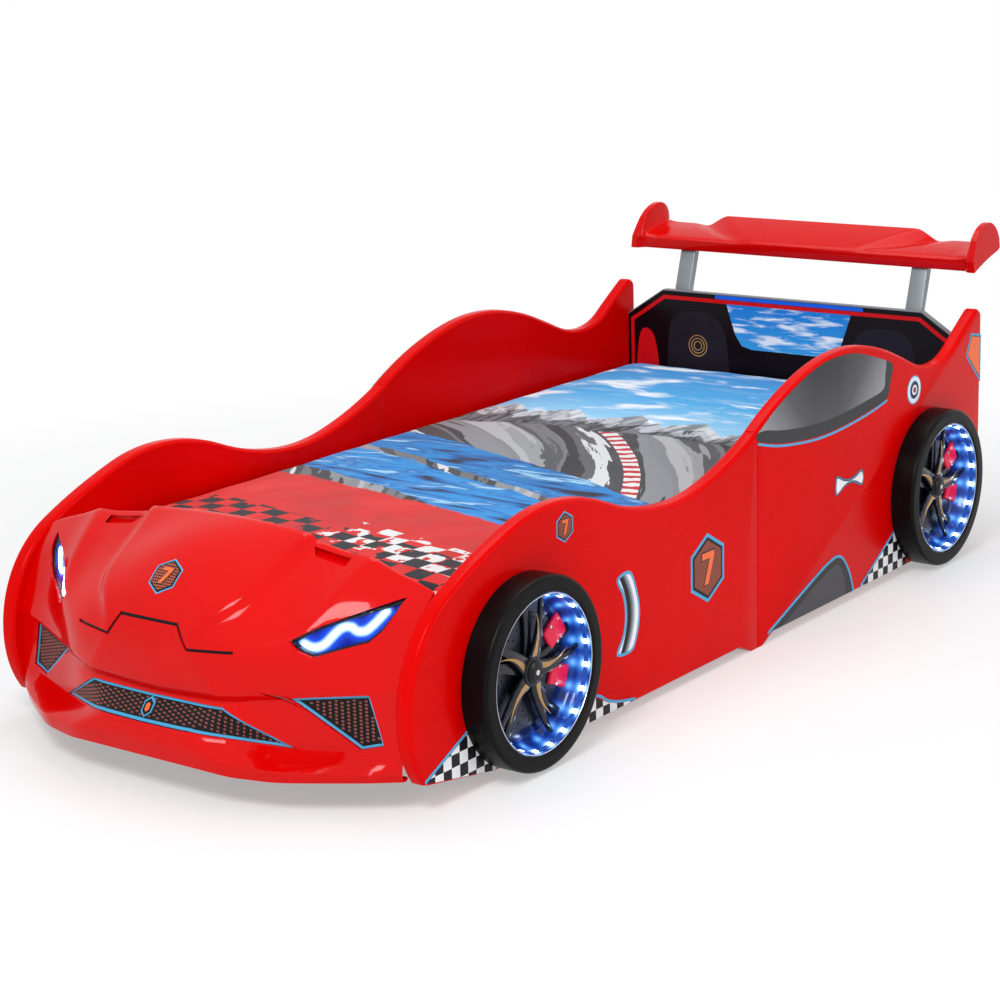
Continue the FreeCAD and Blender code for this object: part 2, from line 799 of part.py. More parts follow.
def draw_spoke(sketch, aim, start, reach, root, tip, sweep):
    """A bowed spoke from the hub to the ring, with one bend on each side."""
    angle = math.radians(aim)
    along = Vector(math.cos(angle), math.sin(angle), 0)
    across = Vector(-math.sin(angle), math.cos(angle), 0)
    middle = (start + reach) / 2
    width = (root + tip) / 2 * 0.8
    stops = [(start, root, 0), (middle, width, sweep), (reach, tip, 0)]
    upper = [along * r + across * (w / 2 - bow) for r, w, bow in stops]
    lower = [along * r - across * (w / 2 + bow) for r, w, bow in stops]
    polygon(sketch, [(spot.x, spot.y) for spot in upper + lower[::-1]])


def calipers(name):
    """Two brake calipers that sit on the disc behind the spokes."""
    inner = (disc_radius - d.caliper_in).value
    outer = (disc_radius + d.caliper_out).value
    low_x = (d.rim_back + d.disc_thickness).value
    deep = (d.boss_length - d.disc_thickness - d.caliper_gap).value
    blocks = []
    for first, last in ((15, 48), (-35, -5)):
        a, b = math.radians(first), math.radians(last)
        slim = math.radians(5)
        corners = [
            (inner, a), (outer, a + slim), (outer, b - slim), (inner, b),
        ]
        points = [Vector(low_x, r * math.cos(t), r * math.sin(t)) for r, t in corners]
        middle = Vector(low_x, outer * math.cos((a + b) / 2), outer * math.sin((a + b) / 2))
        edges = [
            Part.LineSegment(points[0], points[1]).toShape(),
            Part.Arc(points[1], middle, points[2]).toShape(),
            Part.LineSegment(points[2], points[3]).toShape(),
            Part.LineSegment(points[3], points[0]).toShape(),
        ]
        face = Part.Face(Part.Wire(edges))
        block = face.extrude(Vector(deep, 0, 0))
        front = [e for e in block.Edges if e.BoundBox.XMin > low_x + deep - 0.01]
        blocks.append(block.makeChamfer(deep * 0.35, front))
    obj = doc.addObject("Part::Feature", "calipers_" + name)
    obj.Shape = Part.makeCompound(blocks)
    return obj


def wheels():
    """The parts of the four wheels, each kind shared by all of them."""
    makers = {
        "tyres": tyre, "rim_barrels": rim_barrel, "led_strips": led_strip,
        "brake_discs": brake_disc, "brake_calipers": calipers,
        "spoke_spiders": spoke_spider, "hub_caps": hub_cap,
    }
    for kind, maker in makers.items():
        members = [seat_wheel_part(maker(name), sign, station)
                   for name, sign, station in wheel_sites()]
        keep(group(kind + "_group", members), kind)


# ---------------------------------------------------------------- brackets, feet, driver

def joint_plates():
    """Steel plates across the panel seams, inside."""
    plates = []
    half = inner_width / 2
    for side, sign in SIDES.items():
        x = half - d.plate_thickness if sign > 0 else -1 * half
        low = (x, ahead(d.seam_station) - d.plate_length / 2, d.plate_low)
        size = (d.plate_thickness, d.plate_length, d.plate_height)
        plates.append(box("plate_" + side, low, size))
    return keep(group("plates", plates), "joint_plates")


def corner_brackets():
    """Steel angles that tie headboard and footboard to the side panels."""
    brackets = []
    half = inner_width / 2
    leg, thin = d.bracket_leg, d.plate_thickness
    for side, sign in SIDES.items():
        for end in ("head", "foot"):
            name = "angle_%s_%s" % (end, side)
            panel_x = half - thin if sign > 0 else -1 * half
            board_x = half - leg if sign > 0 else -1 * half
            start_y = face_y - leg if end == "head" else ahead(footboard_station)
            board_y = face_y - thin if end == "head" else ahead(footboard_station)
            on_panel = box(name + "_a", (panel_x, start_y, d.plate_low), (thin, leg, d.bracket_height))
            on_board = box(name + "_b", (board_x, board_y, d.plate_low), (leg, thin, d.bracket_height))
            brackets.append(fuse(name, on_panel, on_board))
    return keep(group("angles", brackets), "corner_brackets")


def glide_feet():
    """Glides under the panels, behind the wheels."""
    glides = []
    width = d.glide_width
    middle = (inner_width + d.panel_thickness) / 2
    for side, sign in SIDES.items():
        for end, station in (("front", wheel_front_station), ("rear", d.wheel_rear_station)):
            low = (middle * sign - width / 2, ahead(station) - width / 2, 0)
            name = "glide_%s_%s" % (side, end)
            glides.append(box(name, low, (width, width, d.floor_gap)))
    return keep(group("glides", glides), "glide_feet")


def led_driver():
    """The driver box of the LED strips, on the inside of the left panel."""
    x = inner_width / 2 - d.driver_depth
    low = (x, ahead(d.driver_station + d.driver_length), d.plate_low)
    case = box("driver_case", low, (d.driver_depth, d.driver_length, d.driver_height))
    return keep(case, "led_driver")


# ---------------------------------------------------------------- rear wing

def wing_section(x, rear_low):
    """The blade's closed section at one x: a blunt front edge and a thin rear edge."""
    y0 = (face_y + d.wing_front).value
    y1 = (face_y + d.wing_rear).value
    z0, z1 = d.wing_front_low.value, d.wing_front_high.value
    z2 = d.wing_rear_high.value
    middle = (y0 + y1) / 2
    top = Part.Arc(Vector(x, y0, z1), Vector(x, middle, (z1 + z2) / 2 - 3), Vector(x, y1, z2))
    under = Part.Arc(Vector(x, y1, rear_low), Vector(x, middle, z0 + 8), Vector(x, y0 + 4, z0))
    edges = [
        top.toShape(),
        Part.LineSegment(Vector(x, y1, z2), Vector(x, y1, rear_low)).toShape(),
        under.toShape(),
        Part.LineSegment(Vector(x, y0 + 4, z0), Vector(x, y0, z1)).toShape(),
    ]
    return Part.Wire(edges)


def wing_fin(sign):
    """An end fin: a rounded sail that leans inward."""
    y0 = (face_y + d.wing_front).value
    back = (face_y + d.wing_reach).value
    z0, top = d.wing_front_low.value, d.fin_top.value
    nose_low, nose_high = Vector(0, y0 - 8, z0), Vector(0, y0 - 14, z0 + 28)
    crest_front, crest_back = Vector(0, y0 + 44, top - 9), Vector(0, y0 + 84, top)
    tail_high, tail_low = Vector(0, back, top - 44), Vector(0, back - 3, z0 + 33)
    keel = Vector(0, y0 + 26, z0)
    edges = [
        Part.Arc(nose_high, Vector(0, y0 + 10, z0 + 70), crest_front),
        Part.Arc(crest_front, Vector(0, y0 + 64, top - 2), crest_back),
        Part.Arc(crest_back, Vector(0, back - 16, top - 12), tail_high),
        Part.LineSegment(tail_high, tail_low),
        Part.LineSegment(tail_low, keel),
        Part.LineSegment(keel, nose_low),
        Part.LineSegment(nose_low, nose_high),
    ]
    outer = Part.Wire([edge.toShape() for edge in edges])
    outer.translate(Vector(wing_half.value, 0, 0))
    solid = Part.Face(outer).extrude(Vector(-d.fin_thickness.value, 0, 0))
    shear = FreeCAD.Matrix()
    lean = d.fin_lean.value / (top - z0)
    shear.A13 = -lean
    shear.A14 = lean * z0
    solid = solid.transformGeometry(shear)
    if sign < 0:
        solid = solid.mirror(Vector(0, 0, 0), Vector(1, 0, 0))
    return solid


def wing_deck():
    """The raised middle of the wing, which grows from the front edge to the rear."""
    y0 = (face_y + d.wing_front).value + 16
    y1 = (face_y + d.wing_rear).value
    slope = (d.wing_rear_high.value - d.wing_front_high.value) / (d.wing_rear - d.wing_front).value
    z_front = d.wing_front_high.value + slope * 16 - 6
    z_rear = d.wing_rear_high.value - 4
    rise = d.deck_rise.value

    def section(y, z, half, height):
        """A trapezoid across the wing."""
        slim = half - height * 0.7
        points = [Vector(-half, y, z), Vector(-slim, y, z + height), Vector(slim, y, z + height),
                  Vector(half, y, z), Vector(-half, y, z)]
        return Part.makePolygon(points)

    return Part.makeLoft([
        section(y0, z_front, d.deck_front_half.value, 5),
        section(y1, z_rear, d.deck_rear_half.value, rise + 4),
    ], True, True)


def rear_wing():
    """The wing: blade, raised middle and two fins in one moulding."""
    inner = wing_half.value - d.fin_thickness.value / 2 - d.fin_lean.value
    blade = Part.makeLoft([
        wing_section(-inner, d.wing_rear_low.value),
        wing_section(inner, d.wing_rear_low.value),
    ], True, True)
    shape = blade.fuse([wing_deck(), wing_fin(1), wing_fin(-1)]).removeSplitter()
    obj = doc.addObject("Part::Feature", "wing_body")
    obj.Shape = shape.Solids[0] if len(shape.Solids) == 1 else shape
    return keep(obj, "rear_wing")


def wing_posts(wing):
    """Two bars that rise behind the headboard, lean back and end under the wing."""
    back = face_y + d.board_thickness
    depth = d.post_depth
    tall = d.wing_front_low + d.post_tenon - d.post_bend
    for side, sign in SIDES.items():
        body = new_body("post_body_" + side)
        sketch = polygon(sketch_on(body, "YZ_Plane"), [
            (back, d.post_low),
            (back, d.post_bend),
            (back + d.post_lean * tall, d.post_bend + tall),
            (back + d.post_lean * tall + depth * 1.05, d.post_bend + tall),
            (back + depth, d.post_bend - 3),
            (back + depth, d.post_low),
        ])
        body.Tip = pad(body, sketch, d.post_width)
        centre = inner_width / 2 - d.post_inset
        place(body, centre * sign - d.post_width / 2)
        keep(cut("post_" + side, body, wing), "wing_post_" + side)


# ---------------------------------------------------------------- nose moulding

def nose_line(name):
    """One of the nose's lines as a function from half width to (station, height)."""
    widen = inner_width.value / NOSE_WIDTH
    start = footboard_station.value
    points = [(x * widen, start + s, z) for x, s, z in NOSE_LINES[name]]
    if name not in SMOOTH_LINES:
        return lambda x: straight_between(points, x)
    both = [(-x, s, z) for x, s, z in points[:0:-1]] + points
    curve = Part.BSplineCurve()
    curve.interpolate([Vector(*point) for point in both])
    return lambda x: point_on_curve(curve, x)


def straight_between(points, x):
    """(station, height) at x on the straight runs between points."""
    for (x0, s0, z0), (x1, s1, z1) in zip(points, points[1:]):
        if x <= x1 or x1 == points[-1][0]:
            share = (x - x0) / (x1 - x0)
            return s0 + (s1 - s0) * share, z0 + (z1 - z0) * share


def point_on_curve(curve, x):
    """(station, height) where a curve that runs from right to left reaches x."""
    low, high = curve.FirstParameter, curve.LastParameter
    for _ in range(50):
        middle = (low + high) / 2
        if curve.value(middle).x < x:
            low = middle
        else:
            high = middle
    spot = curve.value(low)
    return spot.y, spot.z


def inset_points(points, depth):
    """Points (x, station, height) moved inward within their section, square to its path."""
    if depth == 0:
        return list(points)
    normals = []
    for (_, s0, z0), (_, s1, z1) in zip(points, points[1:]):
        length = math.hypot(s1 - s0, z1 - z0)
        normals.append(((z1 - z0) / length, (s0 - s1) / length))
    moved = []
    for i, (x, s, z) in enumerate(points):
        before, after = normals[max(i - 1, 0)], normals[min(i, len(normals) - 1)]
        ns, nz = before[0] + after[0], before[1] + after[1]
        size = math.hypot(ns, nz)
        mitre = min(2 / size, 1.5)
        moved.append((x, s + ns / size * depth * mitre, z + nz / size * depth * mitre))
    return moved


def nose_section(lines, index):
    """The skin's section at one cut, from the rear flange to the lip's return."""
    widen = inner_width.value / NOSE_WIDTH
    points = []
    for name, line in lines.items():
        cuts = [x * widen for x in NOSE_CUTS[name]] + [nose_half.value]
        station, height = line(cuts[index])
        lift = CUT_RELIEF[index] * LINE_RELIEF.get(name, 0)
        points.append((cuts[index], station + lift * 0.5, height + lift * 0.85))
    rear, low = points[0], points[-1]
    curve = Part.BSplineCurve()
    curve.interpolate([Vector(*point) for point in points[:5]])
    last = curve.LastParameter
    stops = [curve.value(last * i / BONNET_STEPS) for i in range(BONNET_STEPS + 1)]
    bonnet = [(p.x, p.y, p.z) for p in stops]
    bonnet[0] = rear = (rear[0], nose_rear_station.value, rear[2])
    flange = (rear[0], rear[1], d.nose_flange_low.value)
    shelf = (low[0], low[1] - d.nose_return.value, low[2] + 2)
    return [flange] + bonnet + points[5:] + [shelf]


def nose_net(sections, depth):
    """The corners of the skin at a depth, as columns from right to left."""
    columns = []
    for points in sections:
        moved = inset_points(points, depth)
        columns.append([Vector(x, ahead(s).value, z) for x, s, z in moved])
    mirrored = [[Vector(-p.x, p.y, p.z) for p in column] for column in columns[:0:-1]]
    return mirrored + columns


def triangle(a, b, c):
    """A flat face with three corners."""
    return Part.Face(Part.makePolygon([a, b, c, a]))


def net_faces(net):
    """Flat triangles over a net, their diagonals mirrored about the middle."""
    faces = []
    middle = (len(net) - 1) / 2
    for i, (left, right) in enumerate(zip(net, net[1:])):
        for j in range(len(left) - 1):
            a, b, c, e = left[j], right[j], right[j + 1], left[j + 1]
            if i < middle:
                faces += [triangle(a, b, e), triangle(b, c, e)]
            else:
                faces += [triangle(a, b, c), triangle(a, c, e)]
    return faces


def nose_layer(sections, outer, inner):
    """A layer of the nose between two depths below its skin."""
    front, back = nose_net(sections, outer), nose_net(sections, inner)
    faces = net_faces(front) + net_faces(back)
    for i in (0, -1):
        faces.append(Part.Face(Part.makePolygon(front[i] + back[i][::-1] + front[i][:1])))
    for k in range(len(front) - 1):
        for j in (0, -1):
            a, b, c, e = front[k][j], front[k + 1][j], back[k + 1][j], back[k][j]
            faces += [triangle(a, b, c), triangle(a, c, e)]
    shell = Part.Shell(faces)
    shell.sewShape()
    solid = Part.Solid(shell)
    if solid.Volume < 0:
        solid.reverse()
    return solid


def vent_tool(sections, mirror):
    """What a vent takes out of the bonnet's skin."""
    sign = -1 if mirror else 1
    widen = inner_width.value / NOSE_WIDTH
    start = footboard_station.value
    points = [Vector(sign * x * widen, ahead(start + s).value, 300) for x, s in VENT]
    column = Part.Face(Part.makePolygon(points + points[:1])).extrude(Vector(0, 0, 200))
    return column.common(nose_layer(sections, -3, d.groove_depth.value))


def shut_line_tool(sections):
    """What the bonnet's shut line takes out of the skin."""
    widen = inner_width.value / NOSE_WIDTH
    half = d.groove_width.value / 2
    upper = [Vector(x * widen, 0, z + half) for x, z in SHUT_LINE]
    lower = [Vector(x * widen, 0, z - half) for x, z in SHUT_LINE]
    for i in (1, 2):
        upper[i].x -= half
        lower[i].x += half
        upper[-1 - i].x += half
        lower[-1 - i].x -= half
    wire = Part.makePolygon(upper + lower[::-1] + upper[:1])
    far, near = ahead(nose_rear_station), ahead(nose_reach)
    wire.translate(Vector(0, near.value, 0))
    slot = Part.Face(wire).extrude(Vector(0, (far - near).value, 0))
    return slot.common(nose_layer(sections, -3, d.groove_depth.value))


def front_prism(corners, clearance, mirror):
    """A prism along Y through an opening of the nose, drawn in by a clearance."""
    sign = -1 if mirror else 1
    widen = inner_width.value / NOSE_WIDTH
    near = ahead(nose_reach + 60).value
    far = ahead(nose_rear_station + 9).value
    points = [Vector(sign * x * widen, near, z) for x, z in corners]
    wire = Part.makePolygon(points + points[:1])
    if clearance > 0:
        wire = wire.makeOffset2D(-clearance, 2)
    return Part.Face(wire).extrude(Vector(0, far - near, 0))


def headlight_tray(skin, lens_back, side_sign):
    """The open tray behind a headlight lens: a wall round the opening and a curved back."""
    depth, thin = d.tray_depth.value, d.tray_wall.value
    mirror = side_sign < 0
    outer = front_prism(HEADLIGHT, d.fit_gap.value, mirror)
    inner = front_prism(HEADLIGHT, d.fit_gap.value + thin, mirror)
    behind = max(outer.cut(skin).Solids, key=lambda s: s.BoundBox.YMax)
    back = lens_back.copy()
    back.translate(Vector(0, depth, 0))
    cavity = min(behind.cut(back).Solids, key=lambda s: s.BoundBox.YMin)
    return cavity.cut(inner).fuse(behind.common(back)).removeSplitter()


def nose():
    """The moulded nose, its grilles, and the headlights with their trays."""
    lines = {name: nose_line(name) for name in NOSE_LINES}
    sections = [nose_section(lines, i) for i in range(len(CUT_RELIEF))]
    shell = nose_layer(sections, 0, d.nose_wall.value)
    gap = d.fit_gap.value
    lens_top = d.lens_recess.value
    lens_low = lens_top + d.lens_thickness.value
    grille_top = d.grille_recess.value
    grille = nose_layer(sections, grille_top, grille_top + d.grille_thickness.value)
    lens = nose_layer(sections, lens_top, lens_low)
    skin = nose_layer(sections, 0, lens_low + gap)
    lens_back = nose_layer(sections, lens_low + gap, lens_low + gap + d.tray_wall.value)
    openings = [front_prism(CENTRE_GRILLE, 0, False)]
    inserts = {"centre_grille": grille.common(front_prism(CENTRE_GRILLE, gap, False))}
    for side, sign in SIDES.items():
        mirror = sign < 0
        openings += [front_prism(SIDE_GRILLE, 0, mirror), front_prism(HEADLIGHT, 0, mirror)]
        light = front_prism(HEADLIGHT, gap, mirror)
        inserts["side_grille_" + side] = grille.common(front_prism(SIDE_GRILLE, gap, mirror))
        inserts["headlight_lens_" + side] = lens.common(light)
        inserts["headlight_tray_" + side] = headlight_tray(skin, lens_back, sign)
    sunk = [vent_tool(sections, False), vent_tool(sections, True), shut_line_tool(sections)]
    shell = shell.cut(openings + sunk)
    for label, shape in [("nose_moulding", shell)] + list(inserts.items()):
        biggest = max(shape.Solids, key=lambda s: s.Volume)
        obj = doc.addObject("Part::Feature", label + "_body")
        obj.Shape = biggest
        keep(obj, label)


# ---------------------------------------------------------------- build and write

def build():
    """Every sub-part, in the order of assembly."""
    for side in SIDES:
        for half in ("front", "rear"):
            side_panel(side, half)
    headboard()
    headboard_edging()
    footboard()
    nose_cleat()
    slat_rails()
    centre_beam()
    beam_legs()
    bed_slats()
    wheels()
    joint_plates()
    corner_brackets()
    glide_feet()
    led_driver()
    wing_posts(rear_wing())
    nose()
    mattress()
    doc.recompute()


def check():
    """Stops on any failed object and on any sub-part that is empty or not valid."""
    for obj in doc.Objects:
        if "Invalid" in obj.State or "Error" in obj.State:
            raise RuntimeError("%s failed to build" % obj.Label)
    for label, obj in nodes.items():
        if obj.Shape.isNull() or not obj.Shape.isValid() or not obj.Shape.Solids:
            raise RuntimeError("%s has no valid shape" % label)


def write():
    """One file for each sub-part."""
    os.makedirs("parts", exist_ok=True)
    whole = FreeCAD.BoundBox()
    triangles = 0
    for label, obj in nodes.items():
        obj.Shape.exportStep(os.path.join("parts", label + ".step"))
        whole.add(obj.Shape.optimalBoundingBox(False, False))
        triangles += len(obj.Shape.tessellate(0.4)[1])
    print("%d sub-parts, about %d triangles" % (len(nodes), triangles))
    print("overall %.1f x %.1f x %.1f" % (whole.XLength, whole.YLength, whole.ZLength))
    print("Y from %.1f to %.1f, Z from %.1f" % (whole.YMin, whole.YMax, whole.ZMin))


build()
check()
write()
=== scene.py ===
"""Looks for a child's race-car bed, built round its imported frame.

Every class is one sub-assembly. Its fields are its sizes in metres, and its methods build the
meshes in the frame's coordinates: +Z up, the nose along -Y, the car's left side at +X.
"""

import logging
import math
from dataclasses import dataclass
from enum import Enum
from functools import partial
from math import cos, pi, sin
from typing import Callable, Iterable, Sequence

import bmesh
import bpy
import numpy as np
from mathutils import Matrix, Vector
from mathutils.bvhtree import BVHTree


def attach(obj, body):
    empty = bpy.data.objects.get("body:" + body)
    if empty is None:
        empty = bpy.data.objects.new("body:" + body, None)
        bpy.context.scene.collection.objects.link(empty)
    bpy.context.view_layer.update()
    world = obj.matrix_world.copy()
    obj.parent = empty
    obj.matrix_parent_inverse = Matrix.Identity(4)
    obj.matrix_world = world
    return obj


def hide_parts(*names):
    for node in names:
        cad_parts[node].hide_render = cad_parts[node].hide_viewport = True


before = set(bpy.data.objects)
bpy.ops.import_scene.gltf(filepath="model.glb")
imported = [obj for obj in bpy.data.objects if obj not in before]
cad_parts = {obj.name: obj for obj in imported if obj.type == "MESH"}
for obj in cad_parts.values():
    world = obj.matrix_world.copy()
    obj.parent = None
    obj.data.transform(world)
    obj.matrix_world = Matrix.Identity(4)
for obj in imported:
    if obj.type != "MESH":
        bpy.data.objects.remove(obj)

logging.basicConfig(level=logging.INFO, format="%(levelname)s %(message)s")
LOG = logging.getLogger("car_bed")

Point = tuple[float, float]
Line = Sequence[Point]
Colour = tuple[float, float, float]
Object = bpy.types.Object
Material = bpy.types.Material
Spot = Callable[[float, float, float], Vector]

HEAD_FACE = 1.029
FOOT_FACE = -0.885
PANEL_FACE = 0.494
AXLE_HEIGHT = 0.181
AXLES = {"front": -0.752, "rear": 0.800}
AXLE_MIDDLE = (AXLES["rear"] + AXLES["front"]) / 2
AXLE_REACH = (AXLES["rear"] - AXLES["front"]) / 2
DIODES = 20
SPOKES = 5
CHEQUER = 0.0228
FILM_SUNK = 0.0002
FILM = 0.0005
SEVEN = ((-0.30, 0.46), (0.32, 0.46), (0.32, 0.28), (0.02, -0.46), (-0.20, -0.46), (0.09, 0.27), (-0.30, 0.27))
DOWN = Vector((0, 0, -1))


class Side(Enum):
    """The two sides of the car, by the sign of X."""

    LEFT = 1
    RIGHT = -1

    @property
    def word(self) -> str:
        """The side as piece names spell it."""
        return self.name.lower()


class Skin(Enum):
    """How a flat graphic is finished, by the name of its material."""

    GLASS = "window_film"
    BAND = "film_band"
    LINE = "line_blue"
    WHITE = "film_white"
    RED = "film_red"
    ORANGE = "film_orange"
    SILL = "film_sill"
    CHEQUER = "chequer_film"
    MESH = "mesh_film"
    BLACK = "film_black"
    SKY = "sky_film"
    VENT = "vent_film"
    BLUE = "film_blue"
    PAD = "film_pad"


Film = tuple[str, Line, Skin, int]

# ------------------------------------------------------------------ materials


class Flow:
    """A node's output, which arithmetic signs carry on through Math nodes."""

    def __init__(self, graph: "Graph", socket: bpy.types.NodeSocket) -> None:
        """Keeps the output and its graph."""
        self.graph, self.socket = graph, socket

    def __add__(self, other: object) -> "Flow":
        """The sum."""
        return self.graph.math("ADD", self, other)

    def __sub__(self, other: object) -> "Flow":
        """The difference."""
        return self.graph.math("SUBTRACT", self, other)

    def __rsub__(self, other: object) -> "Flow":
        """The difference from a number."""
        return self.graph.math("SUBTRACT", other, self)

    def __mul__(self, other: object) -> "Flow":
        """The product."""
        return self.graph.math("MULTIPLY", self, other)

    def __truediv__(self, other: object) -> "Flow":
        """The quotient."""
        return self.graph.math("DIVIDE", self, other)

    def __gt__(self, other: object) -> "Flow":
        """1 above another value, else 0."""
        return self.graph.math("GREATER_THAN", self, other)

    def __lt__(self, other: object) -> "Flow":
        """1 below another value, else 0."""
        return self.graph.math("LESS_THAN", self, other)

    def __abs__(self) -> "Flow":
        """The size without its sign."""
        return self.graph.math("ABSOLUTE", self)

    __radd__, __rmul__ = __add__, __mul__


class Graph:
    """A material's node tree, with short calls for the nodes that the finishes share."""

    def __init__(self, name: str, owner: bpy.types.ID | None = None) -> None:
        """Opens a new material, or another owner of nodes such as the world."""
        self.material = owner or bpy.data.materials.new(name)
        self.material.use_nodes = True
        self.tree = self.material.node_tree
        self.shader = self.tree.nodes.get("Principled BSDF") or self.tree.nodes["Background"]
        self.place = self.node("TexCoord", {}, "Object")

    def node(self, kind: str, feeds: dict[int | str, object], out: int | str = 0, **settings: object) -> Flow:
        """Adds a node.

        Args:
            kind: Its type without the leading ShaderNode.
            feeds: What its inputs read or are set to, by place or name.
            out: The output that is wanted.
            **settings: Its own settings.

        Returns:
            That output.
        """
        made = self.tree.nodes.new("ShaderNode" + kind)
        for name, value in settings.items():
            setattr(made, name, value)
        for name, value in feeds.items():
            self.feed(made.inputs[name], value)
        return Flow(self, made.outputs[out])

    def feed(self, socket: bpy.types.NodeSocket, value: object) -> None:
        """Links an output to a socket, or sets the socket's own value.

        Args:
            socket: The input.
            value: An output, a number, a vector or a colour.
        """
        if isinstance(value, Flow):
            self.tree.links.new(value.socket, socket)
        else:
            colour = socket.type == "RGBA" and len(value) == 3
            socket.default_value = (*value, 1.0) if colour else value

    def set(self, **sockets: object) -> "Graph":
        """Feeds the Principled shader's sockets, named with underscores for spaces."""
        for name, value in sockets.items():
            self.feed(self.shader.inputs[name.replace("_", " ")], value)
        return self

    def math(self, operation: str, a: object, b: object = 0.0, clamp: bool = False) -> Flow:
        """One arithmetic step."""
        return self.node("Math", {0: a, 1: b}, operation=operation, use_clamp=clamp)

    def axes(self) -> list[Flow]:
        """The X, Y and Z of the object's coordinates."""
        made = self.node("SeparateXYZ", {0: self.place})
        return [Flow(self, socket) for socket in made.socket.node.outputs]

    def vector(self, x: object, y: object = 0.0) -> Flow:
        """Two values as a vector."""
        return self.node("CombineXYZ", {0: x, 1: y})

    def stretched(self, scale: Colour, shift: Colour = (0, 0, 0), turn: Colour = (0, 0, 0)) -> Flow:
        """The object's coordinates moved, turned and scaled by a Mapping node."""
        return self.node("Mapping", {"Location": shift, "Rotation": turn, "Scale": scale, "Vector": self.place})

    def noise(self, scale: float, detail: float = 3.0, vector: Flow | None = None, bend: float = 0.0) -> Flow:
        """A noise value with so many lumps a metre, octaves and distortion."""
        return self.node("TexNoise", {"Scale": scale, "Detail": detail, "Distortion": bend,
                                      "Vector": vector or self.place})

    def checker(self, vector: Flow) -> Flow:
        """1 and 0 in unit squares."""
        return self.node("TexChecker", {"Scale": 1.0, "Vector": vector}, "Fac")

    def ramp(self, value: object, *stops: tuple[float, Colour], hard: bool = False) -> Flow:
        """A colour ramp.

        Args:
            value: What it reads.
            *stops: Positions with their colours.
            hard: Whether the colours change without blending.

        Returns:
            The colour.
        """
        made = self.node("ValToRGB", {0: value})
        ramp = made.socket.node.color_ramp
        ramp.interpolation = "CONSTANT" if hard else "LINEAR"
        for i, (position, colour) in enumerate(stops):
            stop = ramp.elements[i] if i < 2 else ramp.elements.new(position)
            stop.position, stop.color = position, (*colour, 1.0)
        return made

    def mix(self, share: object, a: object, b: object) -> Flow:
        """Colour a where share is 0 and b where it is 1."""
        return self.node("Mix", {0: share, 6: a, 7: b}, 2, data_type="RGBA")

    def span(self, value: object, low: float, high: float, start: float = 0.0, end: float = 1.0) -> Flow:
        """Maps low..high onto start..end, clamped."""
        return self.node("MapRange", dict(enumerate((value, low, high, start, end))))

    def bump(self, height: object, strength: float, depth: float, under: Flow | None = None) -> Flow:
        """A normal raised by a height, with its strength and depth, on another normal if one is given."""
        feeds = {"Strength": strength, "Distance": depth, "Height": height}
        return self.node("Bump", feeds | ({"Normal": under} if under else {}))

    def polish(self, value: object, low: float, high: float, gloss: float = 0.15) -> "Graph":
        """Spreads the roughness over a noise, and sets how strongly the surface mirrors."""
        return self.set(Roughness=self.span(value, 0.3, 0.7, low, high), Specular_IOR_Level=gloss)

    def whitened(self, white: str, share: object = 1.0) -> bpy.types.ID:
        """Adds a plain white that only the camera, mirrors and glass see.

        Args:
            white: The type of the shader that gives it.
            share: How much of it shows.

        Returns:
            The material or world.
        """
        camera, glossy, clear = (self.node("LightPath", {}, f"Is {ray} Ray")
                                 for ray in ("Camera", "Glossy", "Transmission"))
        seen = self.math("MAXIMUM", camera, self.math("MAXIMUM", glossy, clear))
        light = Flow(self, self.shader.outputs[0])
        mixed = self.node("MixShader", {0: seen * share, 1: light, 2: self.node(white, {0: (1.0, 1.0, 1.0)})})
        self.feed(next(n for n in self.tree.nodes if n.type.startswith("OUTPUT")).inputs[0], mixed)
        return self.material


@dataclass(frozen=True)
class Lacquer:
    """Sprayed colour on board or moulding: a fine orange peel and faint handling marks.

    Args:
        name: The material's name.
        colour: The paint.
        roughness: Of the clean surface.
        coat: Weight of the clear coat.
        peel: Height of the orange peel in metres.
        gloss: How strongly the bare surface mirrors.
    """

    name: str
    colour: Colour
    roughness: float
    coat: float
    peel: float = 0.00002
    gloss: float = 0.14

    def build(self) -> Material:
        """Makes the finish.

        Returns:
            The material.
        """
        g = Graph(self.name)
        deep = tuple(c * 0.90 for c in self.colour)
        marks = g.noise(55, 6, g.stretched((1, 0.35, 1)))
        g.set(Base_Color=g.ramp(g.noise(3.5, 4), (0.3, deep), (0.7, self.colour)))
        g.set(Roughness=g.span(marks, 0.35, 0.75, self.roughness * 0.92, self.roughness * 1.1))
        g.set(Normal=g.bump(g.noise(420, 2), 0.05, self.peel), Specular_IOR_Level=self.gloss)
        return g.set(Coat_Weight=self.coat, Coat_Roughness=0.07).material


@dataclass(frozen=True)
class Plastic:
    """Moulded or printed plastic with a fine grain.

    Args:
        name: The material's name.
        colour: Its colour.
        roughness: Mean roughness.
        grain: Grains per metre.
        depth: Height of the grain in metres.
        coat: Weight of the clear coat.
        metal: Metallic share.
        gloss: How strongly the bare surface mirrors.
    """

    name: str
    colour: Colour
    roughness: float = 0.34
    grain: float = 500.0
    depth: float = 0.00003
    coat: float = 0.0
    metal: float = 0.0
    gloss: float = 0.15

    def build(self) -> Material:
        """Makes the finish.

        Returns:
            The material.
        """
        g = Graph(self.name)
        wear = g.noise(30, 5)
        light = tuple(min(1.0, c * 1.15 + 0.001) for c in self.colour)
        g.set(Base_Color=g.ramp(wear, (0.35, self.colour), (0.8, light)), Metallic=self.metal)
        g.set(Roughness=g.span(wear, 0.3, 0.8, self.roughness * 0.85, min(1.0, self.roughness * 1.2)))
        g.set(Normal=g.bump(g.noise(self.grain, 2), 0.35, self.depth))
        return g.set(Coat_Weight=self.coat, Specular_IOR_Level=self.gloss).material


